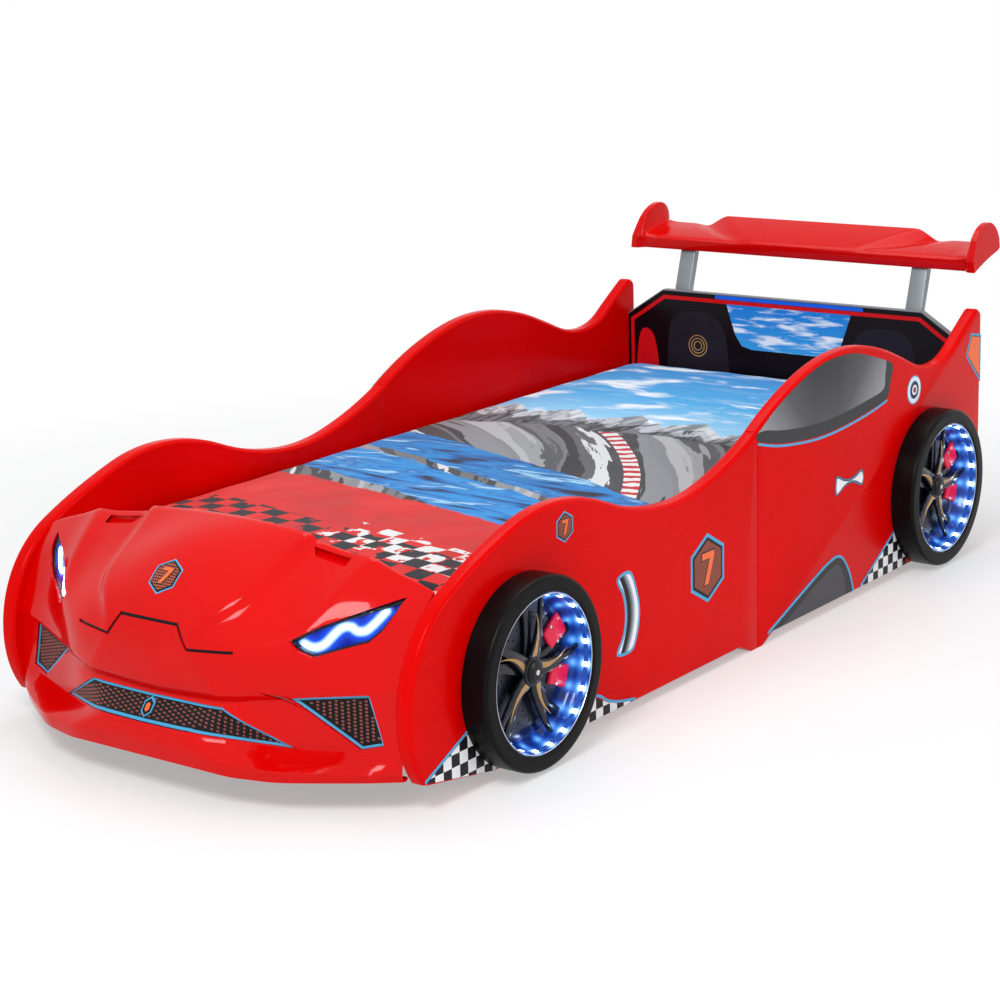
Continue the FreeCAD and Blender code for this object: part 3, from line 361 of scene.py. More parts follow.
@dataclass(frozen=True)
class Timber:
    """Planed softwood with its grain along one axis.

    Args:
        name: The material's name.
        along: Index of the grain's axis.
    """

    name: str
    along: int

    def build(self) -> Material:
        """Makes the finish.

        Returns:
            The material.
        """
        g = Graph(self.name)
        scale = tuple(1.6 if axis == self.along else 38.0 for axis in range(3))
        lines = g.noise(1.0, 8, g.stretched(scale), 1.5)
        pores = g.noise(6.0, 4, g.stretched(tuple(s * 6 for s in scale)))
        tones = ((0.3, (0.42, 0.24, 0.10)), (0.55, (0.66, 0.44, 0.22)), (0.75, (0.76, 0.55, 0.31)))
        g.set(Base_Color=g.ramp(lines, *tones), Roughness=g.span(pores, 0.3, 0.7, 0.5, 0.7))
        return g.set(Normal=g.bump(pores, 0.3, 0.0004)).material


@dataclass(frozen=True)
class Metal:
    """Bare or plated metal with fine brushing.

    Args:
        name: The material's name.
        colour: Its colour.
        roughness: Mean roughness.
        turned: Whether it is brushed in circles about the axles.
    """

    name: str
    colour: Colour
    roughness: float
    turned: bool = False

    def build(self) -> Material:
        """Makes the finish.

        Returns:
            The material.
        """
        g = Graph(self.name)
        if self.turned:
            rings = g.noise(700, 2, g.vector(wheel_place(g)[2]))
        else:
            rings = g.noise(1.0, 3, g.stretched((900, 900, 20)))
        dark = tuple(c * 0.8 for c in self.colour)
        g.set(Base_Color=g.ramp(g.noise(14, 4), (0.3, dark), (0.7, self.colour)), Metallic=1.0)
        g.set(Roughness=g.span(rings, 0.3, 0.7, self.roughness * 0.75, self.roughness * 1.3))
        return g.set(Normal=g.bump(rings, 0.12, 0.0002)).material


@dataclass(frozen=True)
class Glow:
    """A lit diode or light guide.

    Args:
        name: The material's name.
        core: The colour of the lit middle.
        strength: Its emission strength.
    """

    name: str
    core: Colour
    strength: float

    def build(self) -> Material:
        """Makes the finish.

        Returns:
            The material.
        """
        g = Graph(self.name)
        colour = g.ramp(g.noise(300, 2), (0.3, tuple(c * 0.92 for c in self.core)), (0.7, self.core))
        g.set(Base_Color=colour, Emission_Color=colour, Emission_Strength=self.strength)
        return g.set(Roughness=0.3).material


def wheel_place(g: Graph) -> tuple[Flow, Flow, Flow]:
    """Where a point lies round the nearer axle.

    Args:
        g: The material's graph.

    Returns:
        Its distance along Y, its distance up, and the two together.
    """
    _, y, z = g.axes()
    along, up = abs(y - AXLE_MIDDLE) - AXLE_REACH, z - AXLE_HEIGHT
    return along, up, g.math("SQRT", along * along + up * up)


def lit_barrel() -> Material:
    """The wheel's dark barrel with a painted blue glow round each diode, a painted reflection of it deeper in, and a
    painted glow rising towards the rim.

    Returns:
        The material.
    """
    g = Graph("barrel_lit")
    depth = abs(g.axes()[0])
    along, up, radius = wheel_place(g)
    turn = (g.math("ARCTAN2", up, along) + pi) * (DIODES / (2 * pi))
    arc = abs(g.math("FRACT", turn) - 0.5) * 0.0437
    # painted light: emission halos round each diode, a painted reflection of them deeper in, and a painted glow that
    # rises towards the rim
    glow: object = 0.0
    for place, spread, power in ((0.5335, 0.0085, 1.0), (0.5335, 0.018, 0.30), (0.5070, 0.0090, 0.42)):
        off = depth - place
        glow = g.math("EXPONENT", (off * off + arc * arc) * (-1.0 / spread ** 2)) * power + glow
    glow = glow * g.span(radius, 0.112, 0.136) + g.math("POWER", g.span(radius, 0.075, 0.141), 2.5) * 0.10
    tint = g.ramp(glow, (0.0, (0.002, 0.02, 0.30)), (0.12, (0.010, 0.11, 0.95)), (0.45, (0.10, 0.38, 1.0)),
                  (1.0, (0.75, 0.90, 1.0)))
    g.set(Base_Color=(0.004, 0.008, 0.030), Emission_Color=tint, Emission_Strength=glow * 2.3, Coat_Weight=0.3)
    return g.polish(g.noise(200, 3), 0.12, 0.2, 0.2).material


def smoked_window() -> Material:
    """The printed side window: charcoal that pales towards its ends and its foot.

    Returns:
        The material.
    """
    g = Graph("window_film")
    _, y, z = g.axes()
    cloud = g.span(abs(y - 0.33), 0.05, 0.26, 0.0, 0.62) + g.span(z, 0.42, 0.53, 0.34, 0.0) + g.noise(8, 3) * 0.06
    tones = ((0.05, (0.030, 0.030, 0.034)), (0.45, (0.085, 0.085, 0.095)), (0.9, (0.30, 0.30, 0.33)))
    return g.set(Base_Color=g.ramp(cloud, *tones)).polish(g.noise(90, 3), 0.16, 0.26).material


def chequer_film() -> Material:
    """Black and white squares printed on film, seen from the side.

    Returns:
        The material.
    """
    g = Graph("chequer_film")
    squares = g.checker(g.stretched((0.0, 1 / CHEQUER, 1 / CHEQUER), (0.5, 0.13, 0.25)))
    fade = g.noise(60, 3)
    white = g.ramp(fade, (0.3, (0.78, 0.78, 0.80)), (0.7, (0.90, 0.90, 0.90)))
    return g.set(Base_Color=g.mix(squares, white, (0.008, 0.008, 0.010))).polish(fade, 0.2, 0.32).material


def mesh_film() -> Material:
    """Dark film printed with rows of small russet dashes, for the plaques.

    Returns:
        The material.
    """
    g = Graph("mesh_film")
    x, y, z = g.axes()
    sizes = {"Scale": 8.0, "Mortar Size": 0.075, "Brick Width": 0.55, "Row Height": 0.42}
    dashes = g.node("TexBrick", sizes | {"Vector": g.vector((y + x) * 14.0, z * 14.0)}, "Fac", offset=0.5)
    g.set(Base_Color=g.mix(dashes, (0.50, 0.11, 0.06), (0.006, 0.007, 0.009)))
    return g.polish(g.noise(90, 3), 0.25, 0.4).material


def sky_film() -> Material:
    """Printed blue sky with streaked cloud, on the headboard.

    Returns:
        The material.
    """
    g = Graph("sky_film")
    cloud = g.span(g.noise(22, 7, g.stretched((0.55, 1, 3.6)), 0.3), 0.50, 0.64)
    blue = g.ramp(g.span(g.axes()[2], 0.36, 0.52), (0.0, (0.06, 0.42, 0.80)), (1.0, (0.008, 0.20, 0.66)))
    return g.set(Base_Color=g.mix(cloud, blue, (0.86, 0.92, 0.97))).polish(g.noise(80, 3), 0.2, 0.3).material


def vent_film() -> Material:
    """The printed vent: a dark slot that pales to white at its rear.

    Returns:
        The material.
    """
    g = Graph("vent_film")
    _, y, z = g.axes()
    half = (z - 0.197) / 0.077
    share = (y - ((1.0 - half * half) * 0.027 + (HEAD_FACE - 1.483))) / 0.048
    dark, pale = (0.006, 0.006, 0.008), (0.86, 0.88, 0.92)
    stops = ((0.0, pale), (0.10, pale), (0.15, dark), (0.36, dark), (0.56, (0.26, 0.28, 0.34)), (0.74, pale))
    return g.set(Base_Color=g.ramp(share, *stops)).polish(g.noise(80, 3), 0.22, 0.3).material


def guide_glow() -> Material:
    """The headlight's back with a painted glow that fades with its distance to the light guide's line, which the mesh
    keeps as reach.

    Returns:
        The material.
    """
    g = Graph("guide_glow")
    # painted glow: emission on the headlight's back, brightest beside the light guide
    share = g.node("Attribute", {}, "Fac", attribute_name="reach") / 0.045
    speck = g.noise(120, 2)
    tint = g.ramp(share, (0.0, (0.75, 0.90, 1.0)), (0.13, (0.42, 0.68, 1.0)), (0.23, (0.01, 0.10, 1.0)),
                  (0.50, (0.001, 0.016, 0.62)), (1.0, (0.0, 0.002, 0.10)))
    power = g.ramp(share, *((at, (level,) * 3) for at, level in
                            ((0.0, 1.0), (0.15, 0.6), (0.24, 0.36), (0.5, 0.22), (1.0, 0.08))))
    g.set(Base_Color=(0.002, 0.006, 0.05), Emission_Color=tint)
    g.set(Emission_Strength=power * 2.4 * g.span(speck, 0.3, 0.7, 0.94, 1.0))
    return g.polish(speck, 0.15, 0.22, 0.1).material


def lens_clear() -> Material:
    """The clear moulded lens, with faint flow marks.

    Returns:
        The material.
    """
    g = Graph("lens_clear")
    flow = g.noise(30, 3, g.stretched((1, 1, 3)))
    g.set(Base_Color=(0.93, 0.96, 1.0), Transmission_Weight=1.0, IOR=1.12)
    return g.set(Roughness=g.span(flow, 0.3, 0.7, 0.0, 0.02), Normal=g.bump(flow, 0.05, 0.0005)).material


class Quilt:
    """The printed cover: sky over grey hills, a road with a kerb, blue sweeps and a red chequered foot."""

    def __init__(self) -> None:
        """Opens the material and the noises that its layers share."""
        self.g = Graph("quilt_print")
        self.x, self.y, self.z = self.g.axes()
        self.wobble, self.fine = self.g.noise(5.5, 5) - 0.5, self.g.noise(26, 4) - 0.5

    def below(self, value: Flow, level: object, soft: float) -> Flow:
        """1 where a value is below a level, with a soft step."""
        return 1.0 - self.g.math("DIVIDE", value - (level - soft), 2 * soft, True)

    def build(self) -> Material:
        """Lays the printed layers over each other and weaves the cloth.

        Returns:
            The material.
        """
        g = self.g
        paint = self.foot(self.sweeps(self.road(self.hills(self.sky()))))
        paint = g.mix(self.z < 0.330, paint, (0.06, 0.07, 0.09))
        threads = [g.node("TexWave", {"Scale": 420.0, "Vector": g.place}, wave_type="BANDS", bands_direction=way)
                   for way in "XY"]
        cloth = g.bump(threads[0] * threads[1], 0.25, 0.0002)
        folds = g.bump(g.noise(6.5, 4, g.stretched((1.0, 0.6, 1.0)), 0.8), 0.35, 0.006, cloth)
        g.set(Base_Color=paint, Normal=folds, Sheen_Weight=0.08, Sheen_Roughness=0.5)
        return g.polish(self.haze, 0.62, 0.75).material

    def sky(self) -> Flow:
        """Blue, paler towards the hills, with long clouds.

        Returns:
            The colour.
        """
        g = self.g
        tones = ((0.0, (0.30, 0.62, 0.86)), (0.40, (0.06, 0.38, 0.74)), (1.0, (0.02, 0.22, 0.58)))
        puffs = g.noise(5.2, 8, g.stretched((1.0, 2.4, 1.0), (0.35, 0.1, 0.0)), 0.5)
        streaks = g.noise(12.0, 5, g.stretched((0.40, 2.8, 1.0)), 0.3)
        cloud = g.math("ADD", g.span(puffs, 0.53, 0.64), g.span(streaks, 0.54, 0.74) * 0.30, True)
        return g.mix(cloud, g.ramp(g.span(self.y, 0.34, 1.0), *tones), (0.80, 0.88, 0.94))

    def hills(self, paint: Flow) -> Flow:
        """Three ranges of hills, each nearer one darker.

        Args:
            paint: What lies behind them.

        Returns:
            The colour.
        """
        g = self.g
        rock = g.noise(22, 4, g.stretched((1.0, 0.30, 1.0)), 1.2)
        for level, height, wide, shift, dark, light in (
            (0.345, 0.080, 0.085, 3.00, (0.20, 0.22, 0.25), (0.66, 0.70, 0.74)),
            (0.312, 0.065, 0.060, 3.13, (0.05, 0.055, 0.065), (0.50, 0.53, 0.57)),
            (0.285, 0.040, 0.043, 3.29, (0.012, 0.012, 0.015), (0.16, 0.17, 0.19)),
        ):
            along = self.x + shift
            rise = g.math("PINGPONG", along, wide) / wide
            crest = level + rise * height + self.fine * 0.035 + self.wobble * 0.05
            lit = (g.math("FRACT", along / (2 * wide)) > 0.5) * 0.22 + rock
            tone = g.ramp(lit, (0.42, dark), (0.50, light), (0.60, dark), (0.72, light))
            paint = g.mix(self.below(self.y, crest, 0.002), paint, tone)
        return paint

    def road(self, paint: Flow) -> Flow:
        """Lanes round a far centre, streaked along their run, with a red and white kerb.

        Args:
            paint: What lies behind it.

        Returns:
            The colour.
        """
        g = self.g
        cx, cy = self.x + 0.95, self.y + 0.85
        arc, angle = g.math("SQRT", cx * cx + cy * cy), g.math("ARCTAN2", cy, cx)
        wake = g.noise(1.0, 8, g.vector(arc * 18.0, angle * 2.6), 0.3)
        tones = (
            (0.0, (0.22, 0.23, 0.25)), (0.10, (0.42, 0.43, 0.45)), (0.20, (0.30, 0.31, 0.33)),
            (0.27, (0.075, 0.08, 0.09)), (0.36, (0.16, 0.165, 0.18)), (0.44, (0.022, 0.023, 0.028)),
            (0.56, (0.10, 0.105, 0.12)), (0.62, (0.66, 0.67, 0.69)), (0.67, (0.05, 0.052, 0.060)),
            (0.76, (0.14, 0.145, 0.155)), (0.83, (0.035, 0.037, 0.042)), (0.90, (0.24, 0.25, 0.27)),
        )
        lanes = g.ramp(g.math("FRACT", arc * 3.1 + wake * 0.62), *tones, hard=True)
        verge = 0.262 + self.wobble * 0.07 + self.x * 0.10
        paint = g.mix(self.below(self.y, verge, 0.003), paint, lanes)
        blocks = g.math("FRACT", angle * 36.0 + self.fine * 0.8) > 0.5
        kerb = g.mix(blocks, (0.76, 0.77, 0.78), (0.50, 0.025, 0.025))
        near = (abs(arc + wake * 0.02 - 1.463) < 0.017) * (self.y < verge - 0.012)
        return g.mix(near, paint, kerb)

    def sweeps(self, paint: Flow) -> Flow:
        """Two blue sweeps across the bed.

        Args:
            paint: What lies behind them.

        Returns:
            The colour.
        """
        g = self.g
        grain = g.noise(9, 6, g.stretched((0.5, 2.6, 1.0)), 0.9)
        for base, wide, deep, pale in (
            (-0.135, 0.072, (0.008, 0.10, 0.34), (0.02, 0.24, 0.60)),
            (-0.330, 0.092, (0.010, 0.13, 0.42), (0.03, 0.29, 0.68)),
        ):
            off = self.y + self.x * 0.34 + self.fine * 0.020 + self.wobble * 0.05 - base
            blue = g.ramp(grain, (0.34, (0.008, 0.010, 0.018)), (0.40, deep), (0.52, pale), (0.60, deep),
                          (0.66, (0.30, 0.58, 0.82)))
            paint = g.mix(self.below(abs(off), wide, 0.002), paint, blue)
        return paint

    def foot(self, paint: Flow) -> Flow:
        """The red foot with its broken rows of chequers.

        Args:
            paint: What lies behind it.

        Returns:
            The colour.
        """
        g = self.g
        slope = self.y + self.x * 0.20
        self.haze = g.noise(7, 6, None, 0.5)
        red = g.ramp(self.haze, (0.30, (0.50, 0.015, 0.015)), (0.55, (0.66, 0.022, 0.020)), (0.75, (0.72, 0.05, 0.045)))
        squares = g.checker(g.stretched((21.0, 27.0, 0.0), (0.2, 0.3, 0.5), (0, 0, 0.16)))
        dark = squares * ((slope > -0.862) * (slope < -0.655)) * (g.noise(19, 5) > 0.40)
        red = g.mix(dark, red, (0.016, 0.017, 0.022))
        rows = (slope > -0.735) * (slope < -0.610) * (self.x + self.fine * 0.3 > 0.05)
        red = g.mix(rows * ((1.0 - squares) * (g.noise(31, 5) > 0.46)), red, (0.74, 0.74, 0.74))
        return g.mix(self.below(slope, self.fine * 0.02 - 0.440, 0.004), paint, red)


class Palette:
    """Every finish, built once and kept by name."""

    RED = (0.72, 0.0006, 0.0005)
    FILMS = {
        "line_blue": (0.07, 0.36, 0.62), "film_white": (0.78, 0.80, 0.84), "film_red": (0.66, 0.006, 0.010),
        "film_orange": (0.86, 0.16, 0.045), "film_black": (0.004, 0.004, 0.006), "film_band": (0.030, 0.030, 0.034),
        "film_sill": (0.062, 0.062, 0.074), "film_blue": (0.010, 0.12, 0.72),
    }

    def __init__(self) -> None:
        """Builds the finishes."""
        finishes = (
            Lacquer("lacquer_panel", self.RED, 0.26, 0.03, gloss=0.035),
            Lacquer("lacquer_shell", (0.69, 0.0006, 0.0006), 0.20, 0.30, gloss=0.02),
            Lacquer("lacquer_wing", (0.67, 0.0010, 0.0009), 0.22, 0.20, gloss=0.04),
            Lacquer("lacquer_board", (0.004, 0.003, 0.005), 0.34, 0.0, 0.00003, 0.10),
            Lacquer("board_white", (0.72, 0.72, 0.70), 0.4, 0.1, 0.0002),
            *(Plastic(name, colour) for name, colour in self.FILMS.items()),
            Plastic("tyre_black", (0.0030, 0.0025, 0.0028), 0.34, 700, 0.00004, gloss=0.09),
            Plastic("spoke_black", (0.004, 0.005, 0.009), 0.16, coat=0.35),
            Plastic("cap_black", (0.008, 0.008, 0.009), 0.32, coat=0.1),
            Plastic("caliper_red", (0.78, 0.008, 0.055), 0.30, 400, 0.00006, 0.15),
            Plastic("strip_blue", (0.03, 0.10, 0.45), 0.35, 900, 0.0001),
            Plastic("tray_dark", (0.004, 0.008, 0.05), 0.20, 500, 0.00005, 0.6),
            Plastic("grille_dark", (0.006, 0.006, 0.007), 0.45, 600, 0.0001),
            Plastic("grille_bead", (0.27, 0.075, 0.06), 0.45, 600, 0.0001),
            Plastic("film_gold", (0.55, 0.33, 0.10), 0.30, 500, 0.00005, 0.3, 0.4),
            Plastic("film_pad", (0.012, 0.009, 0.015), 0.5, 300, 0.0001),
            Plastic("piping_grey", (0.05, 0.055, 0.065), 0.7, 900, 0.0003),
            Plastic("edging_grey", (0.20, 0.21, 0.22), 0.45, 500, 0.0001),
            Plastic("foot_grey", (0.10, 0.10, 0.10), 0.6, 500, 0.0002),
            Plastic("driver_white", (0.72, 0.72, 0.70), 0.45, 500, 0.0002),
            *(Timber(name, axis) for axis, name in enumerate(("pine_across", "pine_along", "pine_up"))),
            Metal("post_grey", (0.26, 0.29, 0.31), 0.42),
            Metal("zinc", (0.62, 0.63, 0.64), 0.38),
            Metal("disc_steel", (0.045, 0.050, 0.070), 0.34, True),
            Metal("spoke_bronze", (0.50, 0.30, 0.13), 0.30),
            Metal("silver", (0.72, 0.72, 0.74), 0.25),
            Glow("diode_core", (0.62, 0.80, 1.0), 14.0),
            Glow("guide_core", (0.66, 0.86, 1.0), 7.0),
            Quilt(),
        )
        made = [finish.build() for finish in finishes]
        # the barrel and the headlights' backs get painted blue glow from emission
        made += [lit_barrel(), smoked_window(), chequer_film(), mesh_film(), sky_film(), vent_film(), guide_glow(),
                 lens_clear()]
        self.made = {material.name: material for material in made}

    def dress(self, obj: Object, name: str) -> None:
        """Gives a whole piece one finish."""
        obj.data.materials.clear()
        obj.data.materials.append(self.made[name])


# ------------------------------------------------------------------ outlines


def runs(outline: Line) -> Iterable[tuple[Point, Point]]:
    """The two ends of each run of a closed outline."""
    return zip(outline, [*outline[1:], outline[0]])


def ring(radius: float, count: int, centre: Point = (0.0, 0.0)) -> list[Point]:
    """Corners spaced evenly on a circle."""
    turns = (2 * pi * k / count for k in range(count))
    return [(centre[0] + radius * cos(a), centre[1] + radius * sin(a)) for a in turns]


def hexagon(radius: float, centre: Point = (0.0, 0.0), narrow: float = 1.0) -> list[Point]:
    """Six corners, one straight above the centre."""
    turns = (k * pi / 3 for k in range(6))
    return [(centre[0] + narrow * radius * sin(a), centre[1] + radius * cos(a)) for a in turns]


def mirrored(points: Line, side: Side) -> list[Point]:
    """Points given for the left side, on either side."""
    return [(side.value * u, v) for u, v in points]


def from_head(points: Line) -> list[Point]:
    """Millimetres from the headboard's face and the floor, as places in metres."""
    return [(HEAD_FACE + u / 1000, v / 1000) for u, v in points]


def curved(points: Line, steps: int = 6, closed: bool = False) -> list[Point]:
    """A smooth curve through points.

    Args:
        points: What it passes through.
        steps: Points for each run.
        closed: Whether it runs back to its start.

    Returns:
        The points along it.
    """
    count = len(points)
    out: list[Point] = []
    for i in range(count if closed else count - 1):
        near = [points[(i + k) % count if closed else min(max(i + k, 0), count - 1)] for k in (-1, 0, 1, 2)]
        for t in (step / steps for step in range(steps)):
            out.append(tuple(
                0.5 * (2 * b + (c - a) * t + (2 * a - 5 * b + 4 * c - e) * t * t + (3 * b - a - 3 * c + e) * t ** 3)
                for a, b, c, e in zip(*near)
            ))
    return out if closed else [*out, tuple(points[-1])]


def ribbon(points: Line, width: float) -> list[Point]:
    """A band along a smooth line.

    Args:
        points: The line.
        width: The band's width.

    Returns:
        Its outline.
    """
    sides: list[list[Point]] = [[], []]
    for i, (x, y) in enumerate(points):
        (ax, ay), (bx, by) = points[max(i - 1, 0)], points[min(i + 1, len(points) - 1)]
        reach = width / 2 / (math.hypot(bx - ax, by - ay) or 1.0)
        for side, sign in zip(sides, (1, -1)):
            side.append((x - sign * (by - ay) * reach, y + sign * (bx - ax) * reach))
    return sides[0] + sides[1][::-1]


def mitred(points: Line, width: float) -> list[Point]:
    """A band along straight runs, with mitred corners.

    Args:
        points: The runs' corners.
        width: The band's width.

    Returns:
        Its outline.
    """
    sides: list[list[Point]] = [[], []]
    for i, (x, y) in enumerate(points):
        ways = []
        for (ax, ay), (bx, by) in zip(points[max(i - 1, 0):i + 1], points[max(i, 1):i + 2]):
            size = math.hypot(bx - ax, by - ay)
            ways.append(((ay - by) / size, (bx - ax) / size))
        nx, ny = (sum(part) for part in zip(*ways))
        scale = width / 2 * len(ways) / (nx * nx + ny * ny)
        for side, sign in zip(sides, (1, -1)):
            side.append((x + sign * nx * scale, y + sign * ny * scale))
    return sides[0] + sides[1][::-1]


def grown(points: Line, by: float) -> list[Point]:
    """Moves a closed outline outwards.

    Args:
        points: The outline.
        by: How far, less than zero for inwards.

    Returns:
        The new outline.
    """
    sign = 1.0 if sum(a[0] * b[1] - b[0] * a[1] for a, b in runs(points)) > 0 else -1.0
    out: list[Point] = []
    for i, (x, y) in enumerate(points):
        ways = []
        for (ax, ay), (bx, by_) in ((points[i - 1], (x, y)), ((x, y), points[(i + 1) % len(points)])):
            size = math.hypot(bx - ax, by_ - ay) or 1e-9
            ways.append(((by_ - ay) / size * sign, (ax - bx) / size * sign))
        sx, sy = (sum(part) for part in zip(*ways))
        scale = 2 * by / max(sx * sx + sy * sy, 0.5)
        out.append((x + sx * scale, y + sy * scale))
    return out


def spaced(outline: Line, step: float) -> list[Point]:
    """Adds corners along an outline's straight runs.

    Args:
        outline: The outline.
        step: Their spacing.

    Returns:
        The new outline.
    """
    out: list[Point] = []
    for (ax, ay), (bx, by) in runs(outline):
        count = max(1, int(math.hypot(bx - ax, by - ay) / step))
        out += [(ax + (bx - ax) * k / count, ay + (by - ay) * k / count) for k in range(count)]
    return out


def inside(outline: Line, u: float, v: float) -> bool:
    """Whether a place lies within an outline."""
    hits = ((ay > v) != (by > v) and u < (bx - ax) * (v - ay) / (by - ay) + ax for (ax, ay), (bx, by) in runs(outline))
    return sum(hits) % 2 == 1


def cubic(points: np.ndarray, count: int) -> np.ndarray:
    """A natural cubic through points, by the length of their chords.

    Args:
        points: What it passes through.
        count: How many places are wanted along it.

    Returns:
        A row for each place.
    """
    knots = np.concatenate([[0], np.cumsum(np.linalg.norm(np.diff(points, axis=0), axis=1))])
    at, step, size = np.linspace(0, knots[-1], count), np.diff(knots), len(knots)
    matrix, right = np.eye(size), np.zeros_like(points)
    for i in range(1, size - 1):
        matrix[i, i - 1:i + 2] = step[i - 1], 2 * (step[i - 1] + step[i]), step[i]
        right[i] = 6 * ((points[i + 1] - points[i]) / step[i] - (points[i] - points[i - 1]) / step[i - 1])
    bends = np.linalg.solve(matrix, right)
    low = np.clip(np.searchsorted(knots, at) - 1, 0, size - 2)
    h, a, b = step[low][:, None], (knots[low + 1] - at)[:, None], (at - knots[low])[:, None]
    return (bends[low] * a ** 3 + bends[low + 1] * b ** 3) / (6 * h) \
        + (points[low] / h - bends[low] * h / 6) * a + (points[low + 1] / h - bends[low + 1] * h / 6) * b


def ease(t: float) -> float:
    """A smooth step from 0 to 1."""
    t = min(max(t, 0.0), 1.0)
    return t * t * (3 - 2 * t)


def level(u: float, v: float, h: float) -> Vector:
    """A place on the ground plane."""
    return Vector((u, v, h))


def outward(u: float, v: float, h: float) -> Vector:
    """A place on a plane that faces along X."""
    return Vector((h, u, v))


# ------------------------------------------------------------------ modelling helpers

OUTWARDS = partial(bpy.ops.mesh.normals_make_consistent, inside=False)


def only(obj: Object) -> Object:
    """Selects one object alone and makes it active.

    Args:
        obj: The object.

    Returns:
        The same object.
    """
    for other in bpy.context.selected_objects:
        other.select_set(False)
    obj.select_set(True)
    bpy.context.view_layer.objects.active = obj
    return obj


def linked(name: str, data: bpy.types.ID) -> Object:
    """Puts a new object in the scene.

    Args:
        name: Its name.
        data: Its mesh, curve, lamp or camera.

    Returns:
        The object.
    """
    obj = bpy.data.objects.new(name, data)
    bpy.context.scene.collection.objects.link(obj)
    data.name = name
    return obj


def edited(obj: Object, *steps: Callable[..., object]) -> Object:
    """Runs edit-mode operators in turn, each on the whole mesh.

    Args:
        obj: The mesh.
        *steps: The operators with their settings.

    Returns:
        The same object.
    """
    only(obj)
    bpy.ops.object.mode_set(mode="EDIT")
    for step in steps:
        bpy.ops.mesh.select_all(action="SELECT")
        step()
    bpy.ops.object.mode_set(mode="OBJECT")
    return obj


def modified(obj: Object, kind: str, **settings: object) -> Object:
    """Adds one modifier and applies it.

    Args:
        obj: The mesh.
        kind: Blender's name of the modifier.
        **settings: Its settings.

    Returns:
        The same object.
    """
    modifier = only(obj).modifiers.new(kind, kind)
    for name, value in settings.items():
        setattr(modifier, name, value)
    bpy.ops.object.modifier_apply(modifier=modifier.name)
    return obj


def seal(obj: Object, name: str) -> Object:
    """Names a new piece and moves its place into its mesh.

    Args:
        obj: The piece.
        name: Its name.

    Returns:
        The same object.
    """
    only(obj)
    bpy.ops.object.transform_apply(location=True, rotation=True, scale=True)
    obj.name = obj.data.name = name
    return obj


def soften(obj: Object, degrees: float = 35.0) -> Object:
    """Shades a piece smooth, but for edges sharper than an angle.

    Args:
        obj: The piece.
        degrees: The angle.

    Returns:
        The same object.
    """
    only(obj)
    bpy.ops.object.shade_smooth_by_angle(angle=math.radians(degrees))
    return obj


def bevelled(obj: Object, width: float, segments: int = 2, degrees: float = 30.0) -> Object:
    """Rounds a piece's sharp edges."""
    return soften(modified(obj, "BEVEL", width=width, segments=segments, limit_method="ANGLE",
                           angle_limit=math.radians(degrees)))


def duplicate(obj: Object, name: str, move: Matrix) -> Object:
    """A copy with its own mesh, moved in its vertices."""
    copy = linked(name, obj.data.copy())
    copy.data.transform(move)
    return copy


def join(objects: Sequence[Object], name: str) -> Object:
    """Makes several meshes one piece.

    Args:
        objects: The meshes.
        name: The piece's name.

    Returns:
        The piece.
    """
    made = only(objects[0])
    for obj in objects:
        obj.select_set(True)
    bpy.ops.object.join()
    made.name = made.data.name = name
    return made


def recalculated(obj: Object, weld: float = 0.0) -> Object:
    """Turns a closed mesh's faces outwards.

    Args:
        obj: The mesh.
        weld: Distance within which corners are merged before open ends are closed.

    Returns:
        The same object.
    """
    mesh = bmesh.new()
    mesh.from_mesh(obj.data)
    if weld:
        bmesh.ops.remove_doubles(mesh, verts=mesh.verts, dist=weld)
        bmesh.ops.holes_fill(mesh, edges=[e for e in mesh.edges if e.is_boundary], sides=0)
    bmesh.ops.recalc_face_normals(mesh, faces=mesh.faces)
    mesh.to_mesh(obj.data)
    mesh.free()
    return obj


def bent(obj: Object, name: str, lift: float, spot: Spot) -> Object:
    """Moves a flat piece onto the surface that carries it.

    Args:
        obj: The piece, on the ground plane.
        name: The name that it gets.
        lift: Its underside above the surface.
        spot: Turns (u, v, height) into a place in the frame.

    Returns:
        The finished piece.
    """
    for vertex in obj.data.vertices:
        vertex.co = spot(vertex.co.x, vertex.co.y, lift + vertex.co.z)
    return seal(recalculated(obj), name)


def circle(outline: Line, fill: str) -> Object:
    """A circle whose corners are moved to an outline.

    Args:
        outline: The corners.
        fill: How Blender fills it.

    Returns:
        The flat mesh.
    """
    bpy.ops.mesh.primitive_circle_add(vertices=len(outline), radius=1.0, fill_type=fill)
    obj = bpy.context.object
    for vertex, (u, v) in zip(obj.data.vertices, outline):
        vertex.co = (u, v, 0.0)
    return obj


def raised(thick: float) -> Callable[..., object]:
    """The extrusion that gives a flat mesh its thickness."""
    return partial(bpy.ops.mesh.extrude_region_move, TRANSFORM_OT_translate={"value": (0, 0, thick)})


def plate(name: str, outline: Line, lift: float, thick: float, spot: Spot, soft: float = 0.0) -> Object:
    """A thin piece with any outline, from a disc that is reshaped and extruded.

    Args:
        name: The piece's name.
        outline: Its corners on the surface that carries it.
        lift: Its underside above that surface.
        thick: Its thickness.
        spot: Turns (u, v, height) into a place in the frame.
        soft: Width of the bevel on its face's rim.

    Returns:
        The closed piece.
    """
    obj = edited(circle(outline, "NGON"), raised(thick), OUTWARDS)
    if soft > 0:
        modified(obj, "BEVEL", width=soft, segments=2, limit_method="ANGLE")
    return bent(obj, name, lift, spot)


